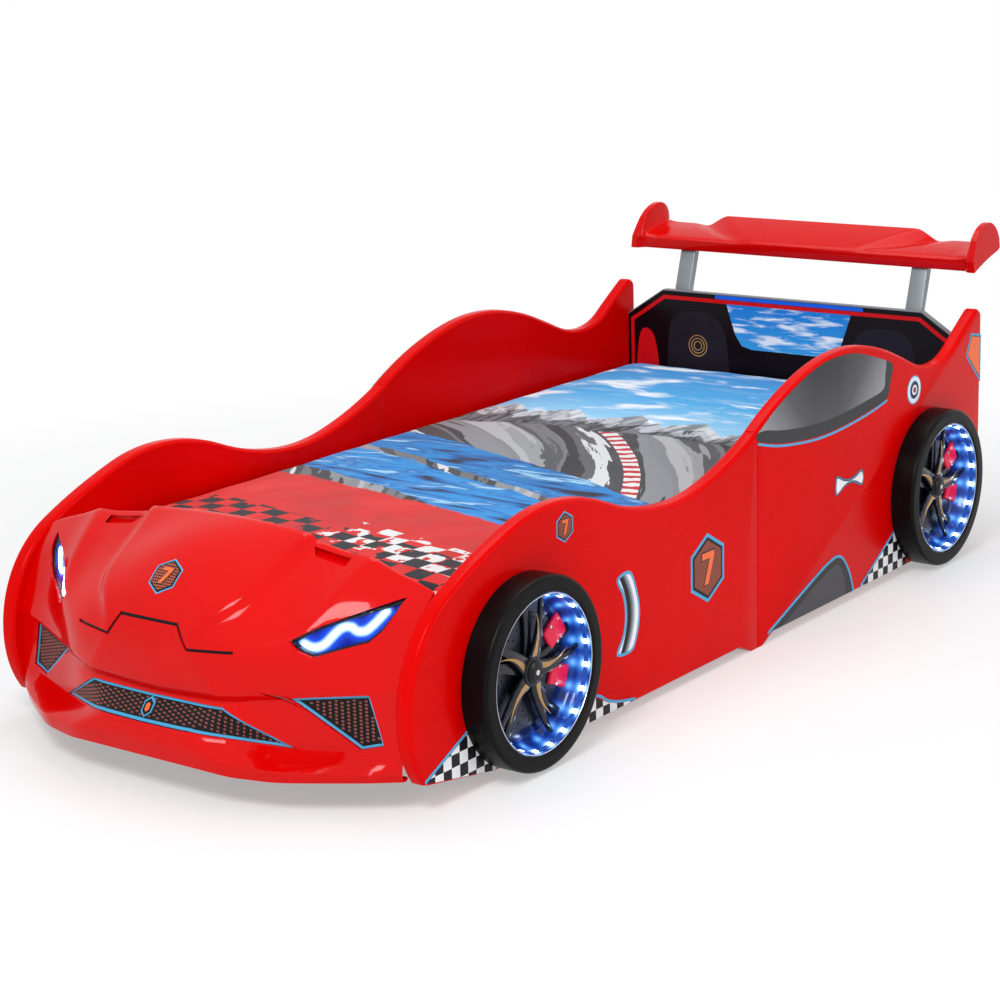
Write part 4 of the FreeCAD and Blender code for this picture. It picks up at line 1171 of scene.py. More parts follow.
def patch(name: str, outline: Line, step: float, lift: float, thick: float, spot: Spot) -> Object:
    """A slab with any outline and inner vertices, so that it can follow a curved surface.

    Args:
        name: The piece's name.
        outline: Its corners in the surface's own (u, v).
        step: Spacing of the inner vertices.
        lift: Depth of its near face.
        thick: Its thickness.
        spot: Turns (u, v, depth) into a place in the frame.

    Returns:
        The closed piece.
    """
    us, vs = zip(*outline)
    wide, high = max(us) - min(us) + 2 * step, max(vs) - min(vs) + 2 * step
    bpy.ops.mesh.primitive_grid_add(x_subdivisions=int(wide / step), y_subdivisions=int(high / step), size=1)
    slab = bpy.context.object
    slab.scale = (wide, high, 1)
    slab.location = ((max(us) + min(us)) / 2 + step * 0.11, (max(vs) + min(vs)) / 2 + step * 0.07, 0)
    edited(seal(slab, name), raised(thick), OUTWARDS)
    carve(slab, plate("cutter", outline, -thick, 3 * thick, level), "INTERSECT")
    return bent(slab, name, lift, spot)


def carve(obj: Object, tool: Object, kind: str = "DIFFERENCE") -> Object:
    """Cuts a piece with a closed mesh, which is then removed.

    Args:
        obj: The piece.
        tool: The mesh.
        kind: Blender's name of the operation.

    Returns:
        The cut piece.
    """
    modified(obj, "BOOLEAN", operation=kind, object=tool, solver="EXACT")
    bpy.data.objects.remove(tool)
    return obj


def tube(name: str, points: Sequence[Vector], radius: float, closed: bool = False) -> Object:
    """A round bar along points, from a curve that is made a mesh.

    Args:
        name: The piece's name.
        points: Places in the frame.
        radius: The bar's radius.
        closed: Whether it runs back to its start.

    Returns:
        The mesh piece.
    """
    data = bpy.data.curves.new(name, "CURVE")
    data.dimensions, data.bevel_depth, data.bevel_resolution = "3D", radius, 3
    data.use_fill_caps = not closed
    spline = data.splines.new("POLY")
    spline.points.add(len(points) - 1)
    spline.points.foreach_set("co", [c for place in points for c in (*place, 1.0)])
    spline.use_cyclic_u = closed
    only(linked(name, data))
    bpy.ops.object.convert(target="MESH")
    made = edited(bpy.context.object, partial(bpy.ops.mesh.remove_doubles, threshold=0.00001), OUTWARDS)
    return soften(seal(made, name), 50)


def turned(name: str, profile: Line, steps: int = 96) -> Object:
    """A ring or disc spun about the X axis.

    Args:
        name: The piece's name.
        profile: Its closed section as (depth, radius) points.
        steps: Divisions of the circle.

    Returns:
        The closed piece, centred on the axis.
    """
    spin = partial(bpy.ops.mesh.spin, steps=steps, angle=2 * pi, center=(0, 0, 0), axis=(1, 0, 0))
    weld = partial(bpy.ops.mesh.remove_doubles, threshold=0.00002)
    obj = edited(circle(profile, "NOTHING"), spin, weld, bpy.ops.mesh.delete_loose, OUTWARDS)
    return soften(seal(obj, name), 32)


def net(name: str, rows: Sequence[Sequence[Vector]]) -> Object:
    """A grid whose vertices are set from rows of places.

    Args:
        name: The piece's name.
        rows: Equal rows of points in metres.

    Returns:
        The open sheet.
    """
    bpy.ops.mesh.primitive_grid_add(x_subdivisions=len(rows[0]) - 1, y_subdivisions=len(rows) - 1, size=2)
    obj = bpy.context.object
    for vertex, place in zip(obj.data.vertices, (place for row in rows for place in row)):
        vertex.co = place
    obj.name = name
    return obj


def closed_net(name: str, rows: Sequence[Sequence[Vector]]) -> Object:
    """A net whose seams are merged and whose ends are closed."""
    return soften(seal(recalculated(net(name, rows), 0.000005), name))


def band(name: str, outer: Line, inner: Line, lift: float, thick: float, spot: Spot) -> Object:
    """A closed frame between two outlines.

    Args:
        name: The piece's name.
        outer: Its outer corners.
        inner: As many inner ones.
        lift: Its underside above the surface that carries it.
        thick: Its thickness.
        spot: Turns (u, v, height) into a place in the frame.

    Returns:
        The piece.
    """
    top = lift + thick
    section = ((outer, lift), (outer, top), (inner, top), (inner, lift), (outer, lift))
    return closed_net(name, [[spot(u, v, h) for u, v in [*outline, outline[0]]] for outline, h in section])


def block(size: Sequence[float], soft: float, segments: int) -> Object:
    """A small rounded block at the origin, to be repeated.

    Args:
        size: Its three sides.
        soft: Width of its bevel.
        segments: Steps of its bevel.

    Returns:
        The block.
    """
    bpy.ops.mesh.primitive_cube_add(size=1)
    unit = bpy.context.object
    unit.scale = size
    return edited(seal(unit, "unit"), partial(bpy.ops.mesh.bevel, offset=soft, segments=segments, affect="EDGES"))


def scatter(name: str, unit: Object, moves: Sequence[Matrix]) -> Object:
    """One mesh with a copy of a unit at each place.

    Args:
        name: The piece's name.
        unit: What is repeated.
        moves: Where each copy goes.

    Returns:
        The joined piece.
    """
    base = bmesh.new()
    for move in moves:
        part = unit.data.copy()
        part.transform(move)
        base.from_mesh(part)
        bpy.data.meshes.remove(part)
    data = bpy.data.meshes.new(name)
    base.to_mesh(data)
    base.free()
    return soften(linked(name, data))


def refined(node: str, width: float, segments: int = 2, degrees: float = 28.0) -> Object:
    """A welded copy of a CAD node with rounded edges.

    Args:
        node: The node's name.
        width: Width of the rounding.
        segments: Steps of the rounding.
        degrees: Edges sharper than this are rounded.

    Returns:
        The copy, which is to replace the node.
    """
    obj = only(linked(node + "_finish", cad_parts[node].data.copy()))
    bpy.ops.mesh.customdata_custom_splitnormals_clear()
    weld = partial(bpy.ops.mesh.remove_doubles, threshold=0.00002)
    edited(obj, weld, partial(bpy.ops.mesh.dissolve_limited, angle_limit=math.radians(0.8)))
    return bevelled(obj, width, segments, degrees)


class Kit:
    """Dresses finished pieces, hangs them on their bodies, hides the CAD nodes that they stand for, and logs each one.
    """

    def __init__(self, palette: Palette) -> None:
        """Keeps the palette and counts pieces."""
        self.palette, self.count = palette, 0

    def add(self, obj: Object, finish: str, slot: str, *nodes: str, body: str = "bed") -> Object:
        """Dresses a piece and fixes it to its body.

        Args:
            obj: The finished piece.
            finish: The name of its material.
            slot: A material slot's name; it is not used.
            *nodes: The CAD nodes that it stands for.
            body: The body that it moves with.

        Returns:
            The piece.
        """
        self.palette.dress(obj, finish)
        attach(obj, body)
        for node in nodes:
            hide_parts(node)
        self.count += 1
        LOG.info("%-34s %-16s %6d faces", obj.name, finish, len(obj.data.polygons))
        return obj

    def films(self, slot: str, spot: Spot, films: Iterable[Film]) -> None:
        """Lays printed films on a face.

        Args:
            slot: Their material slot, passed on to add, which does not use it.
            spot: Turns (u, v, height) into a place in the frame.
            films: Names, outlines, finishes, and how many films lie under each.
        """
        for name, outline, skin, layer in films:
            thick = FILM_SUNK + FILM * (1 + 0.6 * layer)
            self.add(plate(name, outline, -FILM_SUNK, thick, spot), skin.value, slot)


def plaque(name: str, centre: Point, radius: float, side: Side) -> list[Film]:
    """A six-sided racing plaque with a plain number.

    Args:
        name: The piece's name.
        centre: Its middle.
        radius: From its middle to a corner.
        side: The side that it is read from.

    Returns:
        Its films.
    """
    digit = [(centre[0] + side.value * u * radius, centre[1] + v * radius) for u, v in SEVEN]
    return [
        (f"{name}_rim", hexagon(radius, centre), Skin.LINE, 0),
        (f"{name}_edge", hexagon(radius * 0.89, centre), Skin.BLACK, 1),
        (f"{name}_mesh", hexagon(radius * 0.80, centre), Skin.MESH, 2),
        (f"{name}_digit_0", grown(digit, radius * 0.035), Skin.BAND, 3),
        (f"{name}_digit_1", digit, Skin.ORANGE, 4),
    ]


# ------------------------------------------------------------------ studio


@dataclass
class Studio:
    """Pale floor, soft lights, and the camera where the photograph was taken."""

    place: Colour = (2.8917, -3.9923, 1.5082)
    azimuth: float = 36.931
    pitch: float = 14.200
    roll: float = -1.620
    lens: float = 86.97
    floor_size: float = 160.0
    lamps: tuple[tuple[str, Colour, Colour, float, float], ...] = (
        ("key", (1.2, -3.6, 3.6), (0.0, -0.3, 0.3), 1.5, 125),
        ("fill", (4.6, 0.6, 2.2), (0.4, 0.0, 0.3), 2.2, 50),
        ("top", (-0.6, 0.9, 3.9), (0.0, 0.3, 0.4), 2.4, 52),
    )

    def build(self) -> None:
        """Makes floor, world, lamps and camera."""
        self.floor()
        self.world()
        for name, place, aim, size, power in self.lamps:
            data = bpy.data.lights.new(name, "AREA")
            data.shape, data.size, data.energy = "SQUARE", size, power
            lamp = linked(name, data)
            lamp.location = place
            lamp.rotation_euler = (Vector(aim) - Vector(place)).to_track_quat("-Z", "Y").to_euler()
        self.camera()
        bpy.context.scene.view_settings.view_transform = "Standard"

    def floor(self) -> None:
        """A wide pale floor that whitens away from the bed for the camera."""
        bpy.ops.mesh.primitive_plane_add(size=self.floor_size)
        floor = bpy.context.object
        floor.name = "floor"
        g = Graph("floor_pale")
        x, y, _ = g.axes()
        far = g.math("SQRT", x * x + y * y)
        g.set(Base_Color=g.ramp(g.noise(2.2, 4), (0.3, (0.86, 0.86, 0.86)), (0.7, (0.89, 0.89, 0.89))))
        g.set(Roughness=0.6, Specular_IOR_Level=0.2)
        share = g.math("ADD", g.span(far, 1.2, 2.6, 0.0, 0.62), 0.38, True)
        floor.data.materials.append(g.whitened("Emission", share))

    def world(self) -> None:
        """Soft even light all round, white where the camera or a mirror sees it."""
        bpy.context.scene.world = world = bpy.data.worlds.new("studio")
        g = Graph("studio", world)
        for socket, value in zip(g.shader.inputs, ((0.93, 0.96, 1.0), 0.50)):
            g.feed(socket, value)
        g.whitened("Background")

    def camera(self) -> None:
        """The photograph's viewpoint, with its slight roll."""
        turn, drop, roll = (math.radians(a) for a in (self.azimuth, self.pitch, self.roll))
        look = Vector((-sin(turn) * cos(drop), cos(turn) * cos(drop), -sin(drop)))
        side = Vector((cos(turn), sin(turn), 0.0))
        up = side.cross(look)
        axes = Matrix((side * cos(roll) + up * sin(roll), up * cos(roll) - side * sin(roll), -look))
        data = bpy.data.cameras.new("photo_view")
        data.lens, data.sensor_width, data.clip_end = self.lens, 36.0, 300.0
        camera = linked("photo_view", data)
        camera.matrix_world = Matrix.Translation(self.place) @ axes.transposed().to_4x4()
        bpy.context.scene.camera = camera


# ------------------------------------------------------------------ side panels

WINDOW_ARCH = (
    (-930, 474), (-880, 498), (-807, 525), (-745, 539), (-683, 545), (-620, 545), (-567, 539), (-500, 522), (-450, 506),
)
WINDOW_FOOT = ((-430, 413), (-500, 401), (-600, 391), (-683, 387), (-760, 389), (-840, 397), (-905, 407))


@dataclass
class SidePanels:
    """The four half panels and the films printed on their outer faces."""

    line: float = 0.005
    bare: float = 0.0035
    window: Line = ((-974, 448), *WINDOW_ARCH, (-404, 488), (-414, 452), *((u, v + 5) for u, v in WINDOW_FOOT),
                    (-974, 430))
    lower_line: Line = (*WINDOW_FOOT, (-974, 424))
    glass: Line = (
        (-972, 450), *WINDOW_ARCH, (-436, 500), (-440, 470), (-449, 440), (-520, 430), (-600, 423), (-683, 420),
        (-760, 422), (-830, 428), (-890, 436), (-940, 446),
    )
    vent: Line = (
        (-1485, 124), (-1463, 160), (-1456, 196), (-1462, 232), (-1481, 270), (-1437, 276), (-1414, 232), (-1406, 192),
        (-1414, 152), (-1435, 120),
    )
    handle: Line = (
        (-656, 250), (-645, 248), (-620, 259), (-595, 263), (-570, 259), (-546, 248), (-536, 252), (-532, 266),
        (-538, 281), (-548, 284), (-570, 277), (-595, 274), (-620, 279), (-645, 290), (-655, 287), (-659, 269),
    )
    tail_light: Line = ((-24, 494), (28, 484), (28, 372), (-10, 408), (-48, 445))
    sill: Line = (
        (-935, 21), (-870, 45), (-800, 70), (-730, 95), (-680, 110), (-645, 114), (-620, 102), (-598, 74), (-584, 46),
        (-576, 21),
    )
    sill_step: Line = (
        (-880, 21.5), (-820, 44), (-750, 71), (-700, 87), (-664, 96), (-642, 94), (-626, 78), (-612, 50), (-604, 21.5),
    )
    chequers: tuple[tuple[Line, Line], ...] = (
        (((-2060, 57), (-1925, 119), (-1840, 60), (-1864, 22), (-1868, 21.5)), ((-2062, 60), (-1925, 123))),
        (((-1640, 84), (-1552, 62), (-1520, 44), (-1480, 30), (-1424, 21.5), (-1640, 21.5)),
         ((-1640, 88), (-1552, 66), (-1520, 48), (-1480, 34), (-1426, 24))),
        (((-536, 21.5), (-384, 108), (-330, 108), (-330, 21.5)), ((-541, 23), (-384, 112), (-330, 142))),
    )
    cap: Point = (HEAD_FACE - 0.303, 0.413)
    cap_rings: tuple[tuple[float, Skin], ...] = (
        (0.032, Skin.LINE), (0.0295, Skin.WHITE), (0.0205, Skin.LINE), (0.0185, Skin.BLACK), (0.0115, Skin.WHITE),
        (0.0062, Skin.BAND), (0.0030, Skin.RED),
    )

    def build(self, kit: Kit) -> None:
        """Makes both sides.

        Args:
            kit: Where the pieces are registered.
        """
        for side in Side:
            for half in ("front", "rear"):
                node = f"side_panel_{side.word}_{half}"
                kit.add(refined(node, 0.0022, 3, 24), "lacquer_panel", "panel", node)

            films = ((f"{name}_{side.word}", *rest) for name, *rest in self.graphics(side))
            kit.films("panel", partial(self.spot, side), films)

    def spot(self, side: Side, u: float, v: float, h: float) -> Vector:
        """A place on a panel's outer face."""
        return Vector((side.value * (PANEL_FACE + h), u, v))

    def under_edge(self, side: Side, outline: Line) -> list[Point]:
        """Keeps an outline below the top edge of its panel.

        Args:
            side: The side of the car.
            outline: Its corners as (Y, Z) in metres.

        Returns:
            The corners, lowered where the panel ends.
        """
        meshes = [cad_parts[f"side_panel_{side.word}_{half}"].data for half in ("front", "rear")]
        trees = [BVHTree.FromPolygons([v.co for v in mesh.vertices], [p.vertices for p in mesh.polygons])
                 for mesh in meshes]
        kept = []
        for u, v in outline:
            start = Vector((side.value * (PANEL_FACE - 0.0045), u, 1.0))
            tops = [hit.z for hit, *_ in (tree.ray_cast(start, DOWN) for tree in trees) if hit]
            kept.append((u, min(v, max(tops) - self.bare) if tops else v))
        return kept

    def graphics(self, side: Side) -> list[Film]:
        """Window, vent, handle, lamp, sill, chequers, filler cap and plaques of one side.

        Args:
            side: The side of the car.

        Returns:
            The films.
        """
        window, glass = (self.under_edge(side, curved(from_head(s), 4, True)) for s in (self.window, self.glass))
        vent, handle = curved(from_head(self.vent), 5, True), curved(from_head(self.handle), 4, True)
        lamp, sill = from_head(self.tail_light), curved(from_head(self.sill), 4)
        films = [
            ("window_band", window, Skin.BAND, 0),
            ("window_glass", glass, Skin.GLASS, 1),
            ("window_line", ribbon(curved(from_head(self.lower_line)), self.line), Skin.LINE, 2),
            ("vent_rim", vent, Skin.LINE, 0),
            ("vent_white", grown(vent, -0.006), Skin.VENT, 1),
            ("handle_rim", handle, Skin.BAND, 0),
            ("handle_line", grown(handle, -0.0014), Skin.LINE, 1),
            ("handle_dark", grown(handle, -0.0030), Skin.BLACK, 2),
            ("handle_silver", grown(handle, -0.0052), Skin.WHITE, 3),
            ("tail_lamp_rim", lamp, Skin.LINE, 0),
            ("tail_lamp_dark", grown(lamp, -0.0045), Skin.BAND, 1),
            ("tail_lamp_red", grown(lamp, -0.0065), Skin.ORANGE, 2),
            ("sill_band", sill, Skin.BAND, 0),
            ("sill_step", curved(from_head(self.sill_step), 4), Skin.SILL, 1),
            ("sill_line", ribbon(sill, self.line * 1.1), Skin.LINE, 2),
        ]
        for index, (area, line) in enumerate(self.chequers):
            films.append((f"chequer_{index}", from_head(area), Skin.CHEQUER, 0))
            films.append((f"chequer_line_{index}", ribbon(curved(from_head(line), 5), self.line), Skin.LINE, 1))
        for layer, (radius, skin) in enumerate(self.cap_rings):
            films.append((f"filler_ring_{layer}", ring(radius, 48, self.cap), skin, layer))
        films += plaque("door_plaque", (HEAD_FACE - 1.166, 0.216), 0.070, side)
        return films + plaque("wing_plaque", (HEAD_FACE - 1.643, 0.408), 0.029, side)


# ------------------------------------------------------------------ head end


@dataclass
class HeadEnd:
    """The headboard, its edging, the printed film on it, and the posts behind."""

    stripe: Line = (
        (-0.447, 0.21), (-0.447, 0.4475), (-0.3515, 0.5105), (0.3515, 0.5105), (0.447, 0.4475), (0.447, 0.21),
    )
    window: Line = (
        (-0.172, 0.5060), (-0.160, 0.47), (-0.146, 0.43), (-0.128, 0.405), (-0.10, 0.398), (0.10, 0.398),
        (0.128, 0.405), (0.146, 0.43), (0.160, 0.47), (0.172, 0.5060),
    )
    blue: Line = ((-0.204, 0.5165), (0.204, 0.5165), (0.204, 0.5255), (-0.204, 0.5255))
    rest: Line = (
        (0.170, 0.300), (0.166, 0.36), (0.176, 0.43), (0.205, 0.470), (0.262, 0.480), (0.316, 0.470), (0.338, 0.43),
        (0.342, 0.36), (0.334, 0.300),
    )
    flash: Line = ((0.372, 0.30), (0.380, 0.40), (0.408, 0.428), (0.428, 0.40), (0.432, 0.30))

    def build(self, kit: Kit) -> None:
        """Makes the board, its print and the posts.

        Args:
            kit: Where the pieces are registered.
        """
        kit.add(refined("headboard", 0.0008), "lacquer_board", "printed_board", "headboard")
        kit.add(refined("headboard_edging", 0.0008), "edging_grey", "edging", "headboard_edging")
        films = [
            ("head_window", self.window, Skin.SKY, 0),
            ("head_band", self.blue, Skin.BLUE, 0),
            ("head_stripe", mitred(self.stripe, 0.0095), Skin.RED, 1),
        ]
        for side in Side:
            node = f"wing_post_{side.word}"
            kit.add(refined(node, 0.0025, 3), "post_grey", "post", node)
            films.append((f"head_rest_{side.word}", curved(mirrored(self.rest, side), 4, True), Skin.PAD, 1))
            films.append((f"head_flash_{side.word}", curved(mirrored(self.flash, side), 4, True), Skin.RED, 1))
        kit.films("printed_board", self.spot, films)
        for layer, radius in enumerate((0.027, 0.0195, 0.012)):
            outer = ring(radius, 64, (-0.254, 0.395))
            gold = band(f"head_ring_{layer}", outer, grown(outer, -0.0022), 0.0007, 0.0007, self.spot)
            kit.add(gold, "film_gold", "printed_board")

    def spot(self, u: float, v: float, h: float) -> Vector:
        """A place on the board's front face."""
        return Vector((u, HEAD_FACE - h, v))


# ------------------------------------------------------------------ nose


@dataclass(frozen=True)
class Ridge:
    """One line across the nose's left half, in millimetres.

    Args:
        relief: Share of the sections' relief that it takes; a line without any has straight runs.
        points: Places on it as (half width, distance ahead of the footboard, height).
        cuts: Half widths at which the sections cross it.
    """

    relief: float
    points: tuple[Colour, ...]
    cuts: tuple[float, ...]

    def at(self, x: float) -> list[float]:
        """The line's place at a half width.

        Args:
            x: The half width.

        Returns:
            Its distance ahead of the footboard and its height.
        """
        points = np.array(self.points, dtype=float)
        if self.relief > 0:
            points = cubic(np.vstack([points[:0:-1] * (-1, 1, 1), points]), 600)
        return [float(np.interp(x, points[:, 0], points[:, axis])) for axis in (1, 2)]


@dataclass
class Nose:
    """The moulded nose with its creases, shut line, scoops, grilles and headlights."""

    half: float = 0.4595
    rear: float = 0.061
    flange_low: float = 0.316
    wall: float = 0.004
    steps: int = 12
    ridges: tuple[Ridge, ...] = (
        Ridge(1.0, ((0, 61, 441), (180, 61, 431), (280, 61, 414), (390, 61, 390), (460, 61, 367)),
              (0, 75, 140, 190, 206, 250, 290, 331, 370, 405, 435)),
        Ridge(1.0, ((0, 148, 421), (180, 141, 384), (280, 121, 374), (390, 84, 372), (460, 79, 352)),
              (0, 72, 128, 176, 192, 238, 278, 316, 360, 400, 432)),
        Ridge(0.9, ((0, 228, 371), (180, 236, 321), (290, 196, 303), (390, 114, 344), (460, 100, 332)),
              (0, 62, 108, 148, 164, 210, 250, 296, 350, 395, 430)),
        Ridge(0.4, ((0, 279, 306), (180, 275, 271), (290, 213, 270), (390, 138, 293), (460, 128, 288)),
              (0, 45, 75, 98, 114, 170, 225, 282, 345, 392, 430)),
        Ridge(0.0, ((0, 290, 186), (155, 281, 190), (220, 257, 196), (285, 220, 198), (400, 173, 212), (460, 158, 214)),
              (0, 55, 105, 155, 185, 220, 250, 285, 345, 400, 430)),
        Ridge(0.0, ((0, 276, 173), (155, 268, 177), (220, 246, 184), (285, 215, 186), (400, 172, 203), (460, 157, 206)),
              (0, 55, 105, 155, 185, 220, 250, 285, 345, 400, 430)),
        Ridge(0.0, ((0, 317, 123), (105, 315, 121), (285, 217, 98), (400, 171, 101), (460, 163, 104)),
              (0, 55, 80, 105, 150, 190, 240, 285, 345, 400, 430)),
        Ridge(0.0, ((0, 322, 98), (165, 317, 90), (190, 310, 84), (280, 286, 80), (400, 211, 75), (460, 165, 74)),
              (0, 55, 110, 165, 190, 220, 250, 280, 345, 400, 430)),
        Ridge(0.0, ((0, 316, 64), (165, 312, 62), (190, 305, 58), (280, 282, 58), (400, 207, 58), (460, 162, 58)),
              (0, 55, 110, 165, 190, 220, 250, 280, 345, 400, 430)),
    )
    relief: tuple[float, ...] = (3, 3, 3, 6, -6, -4, -2, 8, 0, 0, 0, 0)
    headlight: Line = (
        (0.268, 0.290), (0.306, 0.312), (0.364, 0.336), (0.421, 0.358), (0.415, 0.334), (0.401, 0.307),
        (0.382, 0.287), (0.306, 0.263), (0.288, 0.272),
    )
    side_grille: Line = ((0.266, 0.190), (0.400, 0.204), (0.424, 0.117), (0.382, 0.106))
    centre_grille: Line = (
        (-0.155, 0.168), (0.155, 0.168), (0.278, 0.101), (0.105, 0.125), (-0.105, 0.125), (-0.278, 0.101),
    )
    wedge: Line = ((0.222, 0.2025), (0.2655, 0.1915), (0.292, 0.1705))
    shut_line: Line = (
        (-0.185, 0.269), (-0.094, 0.265), (-0.067, 0.303), (0.067, 0.303), (0.094, 0.265), (0.185, 0.269),
    )
    scoop: Line = ((0.208, 0.074), (0.290, 0.073), (0.290, 0.091), (0.222, 0.089))
    guide: Line = (
        (0.292, 0.287), (0.301, 0.281), (0.311, 0.280), (0.320, 0.286), (0.328, 0.299), (0.337, 0.311), (0.349, 0.312),
        (0.360, 0.305), (0.371, 0.306), (0.380, 0.315), (0.388, 0.327), (0.395, 0.339),
    )
    screws: Line = ((0.2865, 0.2835), (0.4075, 0.3440))
    hits: BVHTree | None = None

    def build(self, kit: Kit) -> None:
        """Makes the shell and everything set into it.

        Args:
            kit: Where the pieces are registered.
        """
        kit.add(soften(self.open_up(self.shell()), 38), "lacquer_shell", "moulding", "nose_moulding")
        self.seams(kit)
        self.grilles(kit)
        for side in Side:
            self.headlamp(kit, side)
        self.bonnet_plaque(kit)

    def section(self, index: int) -> list[Colour]:
        """The skin's points at one cut, from the rear flange to the return of the lip.

        Args:
            index: The cut's number from the middle outwards.

        Returns:
            The points in millimetres.
        """
        points = []
        for ridge in self.ridges:
            x = (*ridge.cuts, self.half * 1000)[index]
            ahead, height = ridge.at(x)
            lift = self.relief[index] * ridge.relief
            points.append((x, ahead + lift * 0.5, height + lift * 0.85))
        (x, _, top), *bonnet = (tuple(p) for p in cubic(np.array(points[:5]), self.steps + 1))
        rear, (out, ahead, low) = self.rear * 1000, points[-1]
        return [(x, rear, self.flange_low * 1000), (x, rear, top), *bonnet, *points[5:], (out, ahead - 22, low + 2)]

    def shell(self) -> Object:
        """Makes the creased skin with its wall.

        Returns:
            The shell without its openings.
        """
        half = [self.section(i) for i in range(len(self.relief))]
        columns = [[(-x, ahead, z) for x, ahead, z in column] for column in half[:0:-1]] + half
        rows = [[Vector((x, FOOT_FACE * 1000 - ahead, z)) / 1000 for x, ahead, z in row] for row in zip(*columns)]
        obj = net("nose_shell", rows)
        self.crease(obj, len(columns))
        edited(obj, OUTWARDS)
        if min(obj.data.polygons, key=lambda face: face.center.y).normal.y > 0:
            obj.data.flip_normals()
        modified(obj, "SUBSURF", levels=2, render_levels=2)
        self.hits = BVHTree.FromObject(obj, bpy.context.evaluated_depsgraph_get())
        return seal(modified(obj, "SOLIDIFY", thickness=self.wall, offset=-1, use_quality_normals=True), "nose_shell")

    def crease(self, obj: Object, across: int) -> None:
        """Keeps the skin's folds sharp under the Subdivision Surface.

        Args:
            obj: The net.
            across: Its points in a row.
        """
        last = self.steps + 1
        folds = {1: 0.9, last: 0.75, last + 1: 0.6, last + 2: 0.7, last + 3: 0.6, last + 4: 0.8}
        runs_back = {3: 0.75, 4: 0.45, 7: 0.5}
        sharp = obj.data.attributes.new("crease_edge", "FLOAT", "EDGE")
        for edge in obj.data.edges:
            (row, column), (next_row, next_column) = sorted(divmod(v, across) for v in edge.vertices)
            if row == next_row:
                sharp.data[edge.index].value = folds.get(row, 0.0)
            elif column == next_column and 1 <= row and next_row <= last:
                sharp.data[edge.index].value = runs_back.get(abs(column - len(self.relief) + 1), 0.0)

    def front(self, u: float, v: float, depth: float) -> Vector:
        """The skin seen from ahead.

        Args:
            u: X.
            v: Z.
            depth: How far inwards, square to the skin.

        Returns:
            The place.
        """
        place, normal, _, _ = self.hits.ray_cast(Vector((u, -1.6, v)), Vector((0, 1, 0)))
        if place is None:
            place, normal, _, _ = self.hits.find_nearest(Vector((u, -1.1, v)))
        return place - normal * (-depth if normal.y > 0 else depth)

    def behind(self, u: float, v: float, depth: float) -> Vector:
        """The skin's place seen from ahead, moved straight back by a depth."""
        return self.front(u, v, 0.0) + Vector((0, depth, 0))

    def above(self, u: float, v: float, depth: float) -> Vector:
        """The skin's place seen from above at x and a distance ahead of the footboard, lowered by a depth."""
        return self.hits.ray_cast(Vector((u, FOOT_FACE - v, 1.0)), DOWN)[0] + DOWN * depth

    def through(self, u: float, v: float, h: float) -> Vector:
        """A place on a prism along Y."""
        return Vector((u, -1.30 + h, v))

    def open_up(self, shell: Object) -> Object:
        """Cuts the openings, the scoops and the shut line.

        Args:
            shell: The shell.

        Returns:
            The same shell.
        """
        sides = [mirrored(shape, side) for side in Side for shape in (self.side_grille, self.headlight, self.wedge)]
        for outline in (self.centre_grille, *sides):
            carve(shell, plate("cutter", outline, 0.0, 0.345, self.through))
        line = spaced(mitred(self.shut_line, 0.0055), 0.02)
        carve(shell, patch("cutter", line, 0.02, -0.004, 0.0072, self.front))
        for side in Side:
            carve(shell, patch("cutter", mirrored(self.scoop, side), 0.02, -0.006, 0.016, self.above))
        return shell

    def seams(self, kit: Kit) -> None:
        """Lays a black strip in the shut line as painted shade in the gap, and lines the scoops.

        Args:
            kit: Where the pieces are registered.
        """
        # painted shade: a black strip at the foot of the shut line stands for the shadow in the gap
        line = spaced(mitred(self.shut_line, 0.0051), 0.02)
        kit.add(patch("shut_line_seal", line, 0.02, 0.0030, 0.0009, self.front), "film_black", "moulding")
        for side in Side:
            rim = spaced(mirrored(self.scoop, side), 0.012)
            for piece in (
                band(f"scoop_wall_{side.word}", grown(rim, 0.0024), rim, 0.0005, 0.013, self.above),
                plate(f"scoop_floor_{side.word}", rim, 0.0, 0.0015, self.scoop_floor),
            ):
                kit.add(piece, "lacquer_shell", "moulding")

    def scoop_floor(self, u: float, v: float, h: float) -> Vector:
        """A place on a scoop's floor, which sinks towards the rear."""
        low, high = (most(place[1] for place in self.scoop) for most in (min, max))
        return self.above(u, v, 0.0115 - 0.0075 * (v - low) / (high - low) + h)

    def grilles(self, kit: Kit) -> None:
        """Makes three dark meshes, the slots beside them and the plain badge.

        Args:
            kit: Where the pieces are registered.
        """
        self.grille(kit, "centre_grille", self.centre_grille, 0.0045)
        for side in Side:
            self.grille(kit, f"side_grille_{side.word}", mirrored(self.side_grille, side), 0.0055)
            wedge = spaced(grown(mirrored(self.wedge, side), 0.002), 0.01)
            slot = plate(f"grille_wedge_{side.word}", wedge, 0.0, 0.0015, self.wedge_floor)
            kit.add(slot, "lacquer_shell", "moulding")
        badge = hexagon(0.0155, (0.0, 0.1475), 0.0135 / 0.0155)
        for name, inset, lift, thick, finish in (
            ("rim", 0.0, 0.0012, 0.003, "line_blue"),
            ("field", 0.0026, 0.0007, 0.002, "film_black"),
            ("core", 0.0070, 0.0003, 0.002, "film_orange"),
        ):
            kit.add(plate("grille_badge_" + name, grown(badge, -inset), lift, thick, self.behind), finish, "grille")

    def wedge_floor(self, u: float, v: float, h: float) -> Vector:
        """A place on the floor of the slot that runs inward from a side grille."""
        reach = max(0.0, abs(u) - abs(self.wedge[0][0]))
        return self.behind(u, v, 0.0005 + min(0.016, 0.50 * reach) + h)

